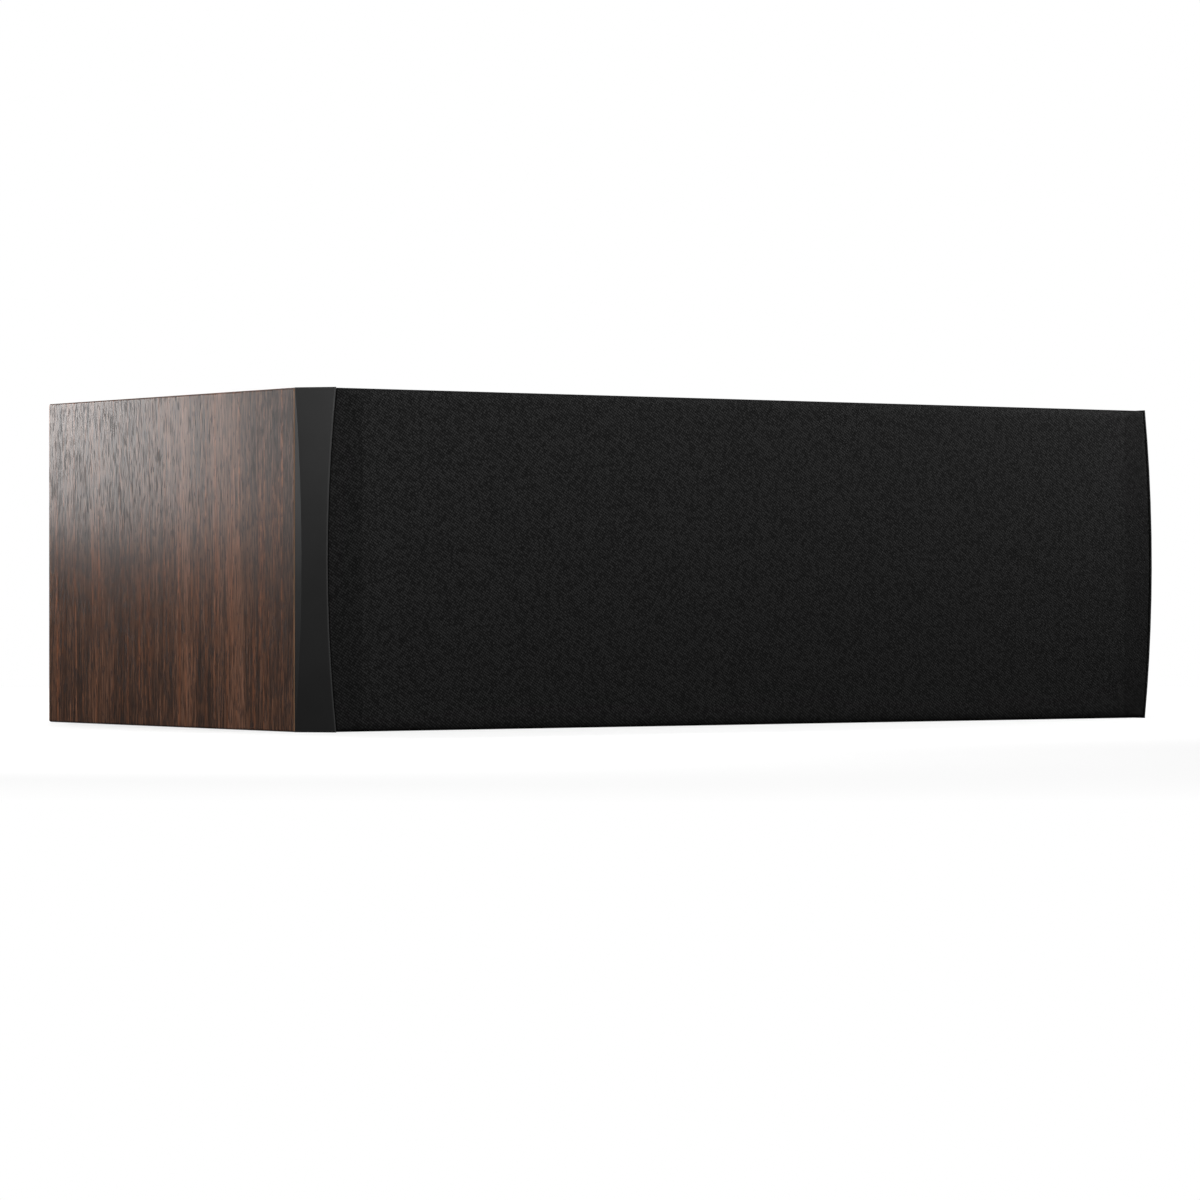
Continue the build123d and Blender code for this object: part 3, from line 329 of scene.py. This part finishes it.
# the ringed cones come after these, since each has its own middle
finished = {slot: surfaceFinish(look) for slot, look in finishes.items() if "ringMm" not in look}
for name, slot in slotOf.items():
    if slot in finished:
        dress(name, finished[slot])


def middleOf(name):
    low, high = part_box(name)
    return tuple((low + high) / 2)


for side in ("left", "right"):
    ringed = surfaceFinish(finishes["cone_polymer"], middleOf(side + "_woofer_cone"))
    dress(side + "_woofer_cone", ringed)
    dress(side + "_woofer_dust_cap", ringed)
print("finishes laid on", len(finishes), "slots")


# Woven cloths

weaves = {
    # black polyester, woven and stretched: a fine slanting speckle of thread tops over dark gaps
    # the thread is drawn about twice as coarse as the real one so that it shows
    "grille_cloth": {"name": "wovenBlackPolyester", "threadMm": 1.25, "slant": 32, "dark": "#020202",
                     "light": "#292929", "roughness": 0.8, "specular": 0.05, "depthMm": 0.08,
                     "liveliness": (0.45, 1.55), "barShade": 0.72, "barBlurMm": 0.5, "paintedShadeLevel": 0.15},
    # cotton dipped in resin: straw-brown open weave, stiff and slightly glossy
    "spider_cloth": {"name": "resinDippedCotton", "threadMm": 0.9, "slant": 0, "dark": "#6b4e22",
                     "light": "#a07d40", "roughness": 0.62, "specular": 0.3, "depthMm": 0.15,
                     "liveliness": (0.8, 1.15)},
    # coated silk: close dark weave with a soft low gloss; the thread is drawn coarser than the real one
    "dome_silk": {"name": "coatedSilk", "threadMm": 0.5, "slant": 0, "dark": "#0d0d0e",
                  "light": "#1d1d20", "roughness": 0.48, "specular": 0.3, "depthMm": 0.04,
                  "liveliness": (0.8, 1.2)},
}
threads = {"sheen": 0.02, "sheenRoughness": 0.5, "under": 0.35, "relief": 0.5}  # what all cloths share


def wovenCloth(look, backed=None):
    # crossing rounded threads, each crossing a little lighter or darker than the next
    w = threads
    settings = {"Roughness": look["roughness"], "Specular IOR Level": look["specular"],
                "Sheen Weight": w["sheen"], "Sheen Roughness": w["sheenRoughness"]}
    material, tree, shader = startMaterial(look["name"], settings)
    coords = addNode(tree, "TexCoord")
    perMetre = 1 / (look["threadMm"] * mm)
    if backed:  # laid out by thread length on the cloth itself
        plane = coords.outputs["UV"]
    else:  # woven flat across the front
        plane = addNode(tree, "Mapping", {"Rotation": (math.radians(90), 0, 0)},
                        {"Vector": coords.outputs["Object"]})
    slant = (0, 0, math.radians(look["slant"]))
    laid = addNode(tree, "Mapping", {"Rotation": slant, "Scale": (perMetre,) * 3}, {"Vector": plane})
    split = addNode(tree, "SeparateXYZ", {}, {0: laid})
    ridges = []
    for axis in (0, 1):
        phase = addNode(tree, "Math", {"operation": "MULTIPLY", 1: math.pi}, {0: split.outputs[axis]})
        wave = addNode(tree, "Math", {"operation": "SINE"}, {0: phase})
        ridges.append(addNode(tree, "Math", {"operation": "ABSOLUTE"}, {0: wave}))
    crossed = addNode(tree, "MapRange", {"To Min": w["under"], "To Max": 1.0}, {"Value": ridges[0]})
    height = addNode(tree, "Math", {"operation": "MULTIPLY"}, {0: ridges[1], 1: crossed})
    crossing = addNode(tree, "VectorMath", {"operation": "FLOOR"}, {0: laid})
    chance = addNode(tree, "TexWhiteNoise", {"noise_dimensions": "2D"}, {"Vector": crossing})
    low, high = look["liveliness"]
    lively = addNode(tree, "MapRange", {"To Min": low, "To Max": high}, {"Value": chance})
    lit = addNode(tree, "Math", {"operation": "MULTIPLY"}, {0: height, 1: lively})
    stops = [(0.0, look["dark"]), (1.0, look["light"])]
    colour = addNode(tree, "ValToRGB", {"stops": stops}, {"Fac": lit})
    if backed:  # darker over the end bars, and painted shade where the cloth turns over an edge
        across = addNode(tree, "SeparateXYZ", {}, {0: coords.outputs["Object"]})
        out = addNode(tree, "Math", {"operation": "ABSOLUTE"}, {0: across})
        blur = look["barBlurMm"] * mm
        bar = addNode(tree, "MapRange", {"From Min": backed - blur, "From Max": backed + blur,
                                         "To Min": 1.0, "To Max": look["barShade"]}, {"Value": out})
        # painted shade: the cloth is drawn darker where it turns over its top, bottom and end edges
        turned = addNode(tree, "Attribute", {"attribute_name": "turned"}).outputs["Fac"]
        edge = addNode(tree, "MapRange", {"To Min": 1.0, "To Max": look["paintedShadeLevel"]}, {"Value": turned})
        for shade in (bar, edge):
            colour = addNode(tree, "VectorMath", {"operation": "SCALE"}, {"Vector": colour, "Scale": shade})
    bump = addNode(tree, "Bump", {"Strength": w["relief"], "Distance": look["depthMm"] * mm},
                   {"Height": height})
    feed(tree, shader, {"Base Color": colour, "Normal": bump})
    return material


silk = wovenCloth(weaves["dome_silk"])
dress("tweeter_dome", silk)


# Grille cloth, stretched over its frame

grille = {
    "bow": 4.965 * mm,  # how far the ends swell at half height
    "edgeHeight": 5.5 * mm, "edgeDepth": 2.2 * mm,  # the long edges turn over in a flat curve
    "endEdgeRadius": 0.8 * mm, "thickness": 0.5 * mm,
    "taper": 0.8 * mm, "taperRun": 14.0 * mm,  # the end bars fall away a little
    "turnFrom": 25, "turnRange": 20,  # slopes, in degrees, over which the turned-over cloth takes its painted shade
    "acrossSteps": 150, "upSteps": 60, "roundSteps": 8, "wallSteps": 3, "weld": 0.02 * mm,
}


def grilleCloth():
    # one stretched sheet: the bowed front, its turned edges and the walls back to the hem
    w = grille
    low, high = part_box("grille_cloth")
    halfWidth, front, rear = high.x, low.y, high.y
    middle, half = (low.z + high.z) / 2, (high.z - low.z) / 2
    edge, depth, corner = w["edgeHeight"], w["edgeDepth"], w["endEdgeRadius"]
    bowRadius = (half ** 2 + w["bow"] ** 2) / (2 * w["bow"])
    barStart = halfWidth - w["bow"] - w["taperRun"]

    # the section from the bottom hem over the front to the top hem: height, depth and slope
    section = []
    for i in range(w["wallSteps"]):
        section.append((-half, rear + (front + depth - rear) * i / w["wallSteps"], math.pi / 2))
    for i in range(w["roundSteps"]):
        a = math.pi / 2 * (1 - i / w["roundSteps"])
        slope = math.atan2(math.sin(a) / edge, math.cos(a) / depth)
        section.append((-half + edge - edge * math.sin(a), front + depth - depth * math.cos(a), slope))
    flat = half - edge
    for i in range(w["upSteps"] // 2):
        section.append((-flat + flat * i / (w["upSteps"] // 2), front, 0))
    section = section + [(0.0, front, 0)] + [(-z, y, -slope) for z, y, slope in reversed(section)]
    run = [0.0]
    for (z0, y0, _), (z1, y1, _) in zip(section, section[1:]):
        run.append(run[-1] + math.hypot(z1 - z0, y1 - y0))

    def endAt(z):
        return halfWidth - bowRadius + math.sqrt(bowRadius ** 2 - min(abs(z), half) ** 2)

    def fallen(x, y):
        return max(y, front + max(0.0, abs(x) - barStart) * w["taper"] / w["taperRun"])

    # across the front: share of the flat width, then the turn at each end
    turns = [90 * (i + 1) / w["roundSteps"] for i in range(w["roundSteps"])]
    across = [(-1.0, -t) for t in reversed(turns)]
    across += [(share, 0.0) for share in np.linspace(-1, 1, w["acrossSteps"] + 1)]
    across += [(1.0, t) for t in turns]

    cloth = bmesh.new()
    thread = cloth.loops.layers.uv.new("thread")
    turned = cloth.verts.layers.float.new("turned")  # 1 where the cloth has turned over an edge, where its painted shade goes
    layout = {}
    rows = []
    for k, (z, y, slope) in enumerate(section):
        row = []
        for share, turn in across:
            t = math.radians(abs(turn))
            inward = corner * (1 - math.cos(t))
            zi = z + inward * math.sin(slope)
            flatX = share * (endAt(zi) - corner)
            side = (turn > 0) - (turn < 0)
            x = flatX + side * corner * math.sin(t)
            vert = cloth.verts.new((x, fallen(x, y) + inward * math.cos(slope), middle + zi))
            layout[vert] = (flatX + side * corner * t, run[k])
            over = (math.degrees(abs(slope)) - w["turnFrom"]) / w["turnRange"]
            vert[turned] = min(max(over, 0.0, abs(turn) / 90), 1.0)
            row.append(vert)
        rows.append(row)
    for lower, upper in zip(rows, rows[1:]):
        for i in range(len(lower) - 1):
            cloth.faces.new((lower[i], lower[i + 1], upper[i + 1], upper[i]))

    # end walls, from the turned edge back to the hem
    first, last = w["wallSteps"], len(section) - 1 - w["wallSteps"]
    for side in (0, -1):
        columns = []
        for k in range(first, last + 1):
            start = rows[k][side]
            u, v = layout[start]
            column = [start]
            for j in range(1, w["wallSteps"] + 1):
                back = (rear - start.co.y) * j / w["wallSteps"]
                vert = cloth.verts.new((start.co.x, start.co.y + back, start.co.z))
                layout[vert] = (u + math.copysign(back, u), v)
                vert[turned] = 1.0
                column.append(vert)
            columns.append(column)
        for one, two in zip(columns, columns[1:]):
            for j in range(w["wallSteps"]):
                ring = (one[j], two[j], two[j + 1], one[j + 1])
                cloth.faces.new(ring if side == 0 else ring[::-1])
    for face in cloth.faces:
        for loop in face.loops:
            loop[thread].uv = layout[loop.vert]
    bmesh.ops.remove_doubles(cloth, verts=cloth.verts[:], dist=w["weld"])
    bmesh.ops.recalc_face_normals(cloth, faces=cloth.faces[:])
    area = sum(face.calc_area() for face in cloth.faces)
    mesh = bpy.data.meshes.new("grilleCloth")
    cloth.to_mesh(mesh)
    cloth.free()
    piece = newPiece("grilleCloth", mesh, wovenCloth(weaves["grille_cloth"], backed=barStart))
    thick = piece.modifiers.new("thickness", "SOLIDIFY")
    thick.thickness = w["thickness"]
    thick.offset = -1.0
    cut = (2 * halfWidth + 2 * (rear - front), run[-1])
    return piece, cut, min(area, cut[0] * cut[1])


clothPiece, clothCut, clothArea = grilleCloth()
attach(clothPiece, "grille")
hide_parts("grille_cloth")
print("cloth stretched, cut to", [round(c, 4) for c in clothCut])


# Surrounds and spiders: turned soft rings that flex between the basket and the cone, sized in mm

rubberRoll = {"centre": 56.4, "radius": 4.5, "wall": 0.9, "outerLip": 62.7, "innerLip": 50.1, "soften": 0.5}
silkRoll = {"centre": 16.4, "radius": 2.0, "wall": 0.4, "outerLip": 23.5, "innerLip": 14.4, "soften": 0.2}
spiderWaves = {"inner": 18.75, "outer": 48.0, "innerLand": 2.0, "outerLand": 5.0, "waves": 6, "height": 1.2,
               "thickness": 0.7}
ringSteps = {"around": 144, "arc": 22, "waveSteps": 12, "footGap": 0.2}


def softMax(a, b, blendMm):
    # the higher of two heights, with a small fillet where they meet
    share = max(blendMm - abs(a - b), 0.0) / blendMm
    return max(a, b) + share * share * blendMm / 4


def rollFeet(w):
    return w["centre"] + w["radius"], w["centre"] - w["radius"]


def rollProfile(w):
    # outline of a half-roll with flat lips, as (radius, forward) in mm, measured from the lips' rear face
    c, r, wall = w["centre"], w["radius"], w["wall"]
    arc = [math.pi * (i + 0.5) / ringSteps["arc"] for i in range(ringSteps["arc"])]
    outerFoot, innerFoot = rollFeet(w)
    gap = ringSteps["footGap"]
    radii = [w["outerLip"], (w["outerLip"] + outerFoot) / 2, outerFoot + gap]
    radii += [c + r * math.cos(a) for a in arc]
    if w["innerLip"] < innerFoot:
        radii += [innerFoot - gap, (w["innerLip"] + innerFoot) / 2, w["innerLip"]]
    top = []
    for radius in radii:
        arch = math.sqrt(max(r * r - (radius - c) ** 2, 0.0))
        lip = wall if (radius > c or w["innerLip"] < innerFoot) else 0.0
        top.append((radius, softMax(lip, arch, w["soften"])))
    inner = r - wall
    under = [(w["innerLip"], 0.0)] if w["innerLip"] < innerFoot else [(innerFoot, 0.0)]
    under += [(c - inner * math.cos(a), inner * math.sin(a)) for a in arc]
    under += [(w["outerLip"], 0.0)]
    return top + under


def spiderFeet(w):
    return w["outer"] - w["outerLand"], w["inner"] + w["innerLand"]


def spiderProfile(w):
    # outline of a corrugated disc with flat lands, as (radius, forward) in mm, measured from its middle
    end, start = spiderFeet(w)
    steps = w["waves"] * ringSteps["waveSteps"]
    line = [(w["inner"], 0.0)]
    for i in range(steps + 1):
        share = i / steps
        wave = math.sin(2 * math.pi * w["waves"] * share)
        line.append((start + (end - start) * share, w["height"] * wave))
    line.append((w["outer"], 0.0))
    half = w["thickness"] / 2
    return [(r, h + half) for r, h in reversed(line)] + [(r, h - half) for r, h in line]


def turnedRing(name, node, profile, fromRear, material):
    # the outline turned about the driver's axis, forward being -Y
    low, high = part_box(node)
    x, z = (low.x + high.x) / 2, (low.z + high.z) / 2
    y = high.y if fromRear else (low.y + high.y) / 2
    around = ringSteps["around"]
    verts, radii, faces = [], [], []
    for k in range(around):
        a = 2 * math.pi * k / around
        for radius, forward in profile:
            verts.append((x + radius * mm * math.cos(a), y - forward * mm, z + radius * mm * math.sin(a)))
            radii.append(radius)
    count = len(profile)
    for k in range(around):
        for i in range(count):
            j, n = (i + 1) % count, (k + 1) % around
            faces.append((k * count + i, k * count + j, n * count + j, n * count + i))
    mesh = bpy.data.meshes.new(name)
    mesh.from_pydata(verts, [], faces)
    shape = bmesh.new()
    shape.from_mesh(mesh)
    bmesh.ops.recalc_face_normals(shape, faces=shape.faces[:])
    shape.to_mesh(mesh)
    shape.free()
    return newPiece(name, mesh, material), np.array(radii)


def flexes(piece, radii, node, cone, outer, inner):
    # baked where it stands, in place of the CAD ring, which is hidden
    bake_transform(piece)
    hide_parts(node)


rubber = finished["black_rubber"]
spiderCloth = wovenCloth(weaves["spider_cloth"])
for side in ("left", "right"):
    node = side + "_woofer_surround"
    ring, radii = turnedRing(side + "WooferSurround", node, rollProfile(rubberRoll), True, rubber)
    flexes(ring, radii, node, side + "_cone", *rollFeet(rubberRoll))
    node = side + "_woofer_spider"
    ring, radii = turnedRing(side + "WooferSpider", node, spiderProfile(spiderWaves), False, spiderCloth)
    flexes(ring, radii, node, side + "_cone", *spiderFeet(spiderWaves))
node = "tweeter_surround"
ring, radii = turnedRing("tweeterSurround", node, rollProfile(silkRoll), True, silk)
flexes(ring, radii, node, "tweeter_diaphragm", *rollFeet(silkRoll))
print("surrounds and spiders turned")


# Damping pads

padding = {
    "cuts": 22, "squareness": 7.0, "fill": 0.45,
    "sink": 0.13, "sinkMiddle": 0.45, "lumpShare": 0.4, "smallLump": 0.6,  # how the free face swells
    "waves": (5.1, 3.3), "starts": (0.7, 1.9), "smallWaves": (8.7, 4.6),
    "shades": ("#b9b7ae", "#dad8cf"), "shadeRange": (0.75, 1.25), "fibreTurn": (0.5, 0.3, 0.2),
    "fibreMm": (0.9, 16), "fibreDetail": 4.0, "fibreBend": 2.5, "tuftMm": 14, "tuftDetail": 3.0,
    "depthMm": 0.6, "relief": 0.8, "roughness": 0.95, "specular": 0.15,
    "sheen": 0.15, "sheenRoughness": 0.6,
}


def polyesterWadding():
    # carded and bonded polyester: off-white fluff with loose fibres lying every way
    w = padding
    settings = {"Roughness": w["roughness"], "Specular IOR Level": w["specular"],
                "Sheen Weight": w["sheen"], "Sheen Roughness": w["sheenRoughness"]}
    material, tree, shader = startMaterial("bondedPolyesterWadding", settings)
    coords = addNode(tree, "TexCoord").outputs["Object"]
    bent = addNode(tree, "Mapping", {"Rotation": w["fibreTurn"]}, {"Vector": coords})
    fibre = streaks(tree, bent, *w["fibreMm"], detail=w["fibreDetail"], bend=w["fibreBend"])
    tuft = speckle(tree, coords, w["tuftMm"], w["tuftDetail"])
    both = addNode(tree, "Math", {"operation": "ADD"}, {0: fibre, 1: tuft})
    low, high = w["shadeRange"]
    share = addNode(tree, "MapRange", {"From Min": low, "From Max": high}, {"Value": both})
    dark, light = w["shades"]
    colour = addNode(tree, "MixRGB", {"Color1": linear(dark), "Color2": linear(light)}, {"Fac": share})
    bump = addNode(tree, "Bump", {"Strength": w["relief"], "Distance": w["depthMm"] * mm}, {"Height": both})
    feed(tree, shader, {"Base Color": colour, "Normal": bump})
    return material


def dampingPad(name, node, wall, material):
    # a loose pad: flat against the side board, crowned and lumpy on its free face
    w = padding
    low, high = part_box(node)
    half = (high - low) / 2
    middle = (high + low) / 2
    pad = bmesh.new()
    bmesh.ops.create_cube(pad, size=2.0)
    bmesh.ops.subdivide_edges(pad, edges=pad.edges[:], cuts=w["cuts"], use_grid_fill=True)
    for vert in pad.verts:
        p = np.array(vert.co)
        p = p / np.sum(np.abs(p) ** w["squareness"]) ** (1 / w["squareness"])
        p *= np.max(np.abs(np.array(vert.co)))
        if p[0] * wall < 0:  # the free face
            alongWave, upWave = np.sin(np.array(w["waves"]) * p[1:] + w["starts"])
            smallWave = math.sin(w["smallWaves"][0] * p[1] - w["smallWaves"][1] * p[2])
            lump = alongWave * upWave + w["smallLump"] * smallWave
            rim = max(abs(p[1]), abs(p[2])) ** 2
            sink = w["sinkMiddle"] + (1 - w["sinkMiddle"]) * rim
            p[0] *= 1 - w["sink"] * (1 - w["lumpShare"] * lump) * sink
        vert.co = (middle.x + half.x * p[0], middle.y + half.y * p[1], middle.z + half.z * p[2])
    mesh = bpy.data.meshes.new(name)
    pad.to_mesh(mesh)
    pad.free()
    piece = newPiece(name, mesh, material)
    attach(piece, "cabinet")
    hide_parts(node)


wadding = polyesterWadding()
dampingPad("leftDampingPad", "left_damping_pad", -1, wadding)
dampingPad("rightDampingPad", "right_damping_pad", 1, wadding)
print("damping pads laid in")


# Floor, light and camera

studio = {
    "floorSize": 30.0, "floorGrey": "#454545", "paper": (0.9, 0.9, 0.9, 1), "white": (1, 1, 1, 1),
    "shadowReach": (0.35, 1.1), "shadowShare": 0.3,  # metres from the object, and how much shadow shows
    "mirrored": 0.2, "overhead": 1.0, "skyRise": (0.25, 0.8), "fill": 0.02,  # mirrored sky and shadow fill
}


def sightRays(tree):
    # rays that the camera sees directly, and rays that it sees in a mirror or through glass
    rays = addNode(tree, "LightPath").outputs
    mirror = addNode(tree, "Math", {"operation": "MAXIMUM"},
                     {0: rays["Is Glossy Ray"], 1: rays["Is Transmission Ray"]})
    return rays["Is Camera Ray"], mirror


def whiteFloor():
    # white to the eye, with a faint contact shadow; dim grey in mirrors and to the bounced light
    w = studio
    h = w["floorSize"] / 2
    mesh = bpy.data.meshes.new("floor")
    mesh.from_pydata([(-h, -h, 0), (h, -h, 0), (h, h, 0), (-h, h, 0)], [], [(0, 1, 2, 3)])
    material = bpy.data.materials.new("paperSweep")
    tree = emptyTree(material)
    camera, mirror = sightRays(tree)
    bounce = addNode(tree, "BsdfDiffuse", {"Color": linear(w["floorGrey"])})
    glow = addNode(tree, "Emission", {"Color": w["white"], "Strength": 1.0})
    dim = addNode(tree, "Emission", {"Color": w["white"], "Strength": w["mirrored"]})
    paper = addNode(tree, "BsdfDiffuse", {"Color": w["paper"]})
    coords = addNode(tree, "TexCoord").outputs["Object"]
    away = addNode(tree, "VectorMath", {"operation": "LENGTH"}, {0: coords}).outputs["Value"]
    near, far = w["shadowReach"]
    share = addNode(tree, "MapRange", {"From Min": near, "From Max": far, "To Min": w["shadowShare"],
                                       "To Max": 0.0}, {"Value": away})
    white = addNode(tree, "MixShader", {}, {"Fac": share, 1: glow, 2: paper})
    other = addNode(tree, "MixShader", {}, {"Fac": mirror, 1: bounce, 2: dim})
    seen = addNode(tree, "MixShader", {}, {"Fac": camera, 1: other, 2: white})
    addNode(tree, "OutputMaterial", {}, {"Surface": seen})
    newPiece("floor", mesh, material)


def studioWorld():
    # white behind the object, and dimmer where it is mirrored or fills the shadows
    w = studio
    world = bpy.data.worlds.new("studio")
    scene.world = world
    tree = emptyTree(world)
    camera, mirror = sightRays(tree)
    fill = addNode(tree, "Background", {"Color": w["white"], "Strength": w["fill"]})
    toward = addNode(tree, "TexCoord").outputs["Generated"]
    up = addNode(tree, "SeparateXYZ", {}, {0: toward}).outputs["Z"]
    low, high = w["skyRise"]
    dome = addNode(tree, "MapRange", {"From Min": low, "From Max": high, "To Min": w["mirrored"],
                                      "To Max": w["overhead"]}, {"Value": up})
    shown = addNode(tree, "Background", {"Color": w["white"]}, {"Strength": dome})
    white = addNode(tree, "Background", {"Color": w["white"], "Strength": 1.0})
    lit = addNode(tree, "MixShader", {}, {"Fac": mirror, 1: fill, 2: shown})
    seen = addNode(tree, "MixShader", {}, {"Fac": camera, 1: lit, 2: white})
    addNode(tree, "OutputWorld", {}, {"Surface": seen})


softboxes = {
    # for the sides that the camera sees; those at the rear left are flagged off the top
    "rearLeft": {"at": (-0.396, 0.394, 0.202), "toward": (-0.276, 0.09, 0.15), "size": (0.23, 0.19),
                 "watts": 1.48, "onto": ("left_side_board",)},
    "rearLeftHigh": {"at": (-0.405, 0.425, 0.21), "toward": (-0.276, 0.09, 0.15), "size": (0.14, 0.1),
                     "watts": 0.27, "onto": ("left_side_board",)},
    "rearLeftLow": {"at": (-0.419, 0.383, 0.202), "toward": (-0.276, 0.09, 0.15), "size": (0.26, 0.19),
                    "watts": 0.8, "onto": ("front_baffle",)},
    "left": {"at": (-0.65, -0.469, 0.325), "toward": (-0.2, -0.13, 0.12), "size": (0.34, 0.3),
             "watts": 3.15},
    "frontStrip": {"at": (0.05, -0.35, 0.3), "toward": (0.05, -0.13, 0.14), "size": (0.7, 0.12),
                   "watts": 1.05},
    "frontRight": {"at": (0.42, -0.25, 0.3), "toward": (0.25, -0.135, 0.13), "size": (0.2, 0.12),
                   "watts": 0.75},
    # for the top, the back and the right side
    "overhead": {"at": (0.0, 0.8, 1.3), "toward": (0.0, 0.0, 0.1), "size": (0.5, 0.5), "watts": 22},
    "behind": {"at": (0.15, 1.3, 0.5), "toward": (0.0, 0.13, 0.1), "size": (0.7, 0.5),
               "watts": 13, "mirrored": False},
    "right": {"at": (1.5, 0.2, 0.5), "toward": (0.27, 0.0, 0.1), "size": (0.5, 0.5),
              "watts": 13, "mirrored": False},
}


def softbox(name, at, toward, size, watts, mirrored=True, onto=()):
    # a soft rectangular lamp, which may light only the pieces that onto names
    light = bpy.data.lights.new(name, "AREA")
    light.shape = "RECTANGLE"
    light.size, light.size_y = size
    light.energy = watts
    lamp = bpy.data.objects.new(name, light)
    lamp.visible_camera = False
    lamp.visible_glossy = mirrored
    if onto:
        lit = bpy.data.collections.new(name + "Onto")
        lamp.light_linking.receiver_collection = lit
        for node in onto:
            lit.objects.link(nodes[node])
    scene.collection.objects.link(lamp)
    lamp.location = at
    x, y, z = np.array(at) - np.array(toward)
    lamp.rotation_euler = (math.atan2(math.hypot(x, y), z), 0, math.atan2(x, -y))


view = {"at": (-1.53979, -2.19861, 0.06518), "turn": -34.819, "lens": 147.894, "sensor": 36.0}


def photoCamera():
    # level camera at the photo's angle; the picture is square
    data = bpy.data.cameras.new("camera")
    data.sensor_fit = "HORIZONTAL"
    data.sensor_width = view["sensor"]
    data.lens = view["lens"]
    camera = bpy.data.objects.new("camera", data)
    camera.location = view["at"]
    camera.rotation_euler = (math.radians(90), 0, math.radians(view["turn"]))
    scene.collection.objects.link(camera)
    scene.camera = camera


whiteFloor()
studioWorld()
for name, box in softboxes.items():
    softbox(name, **box)
photoCamera()
scene.view_settings.view_transform = "Standard"
print("studio set")
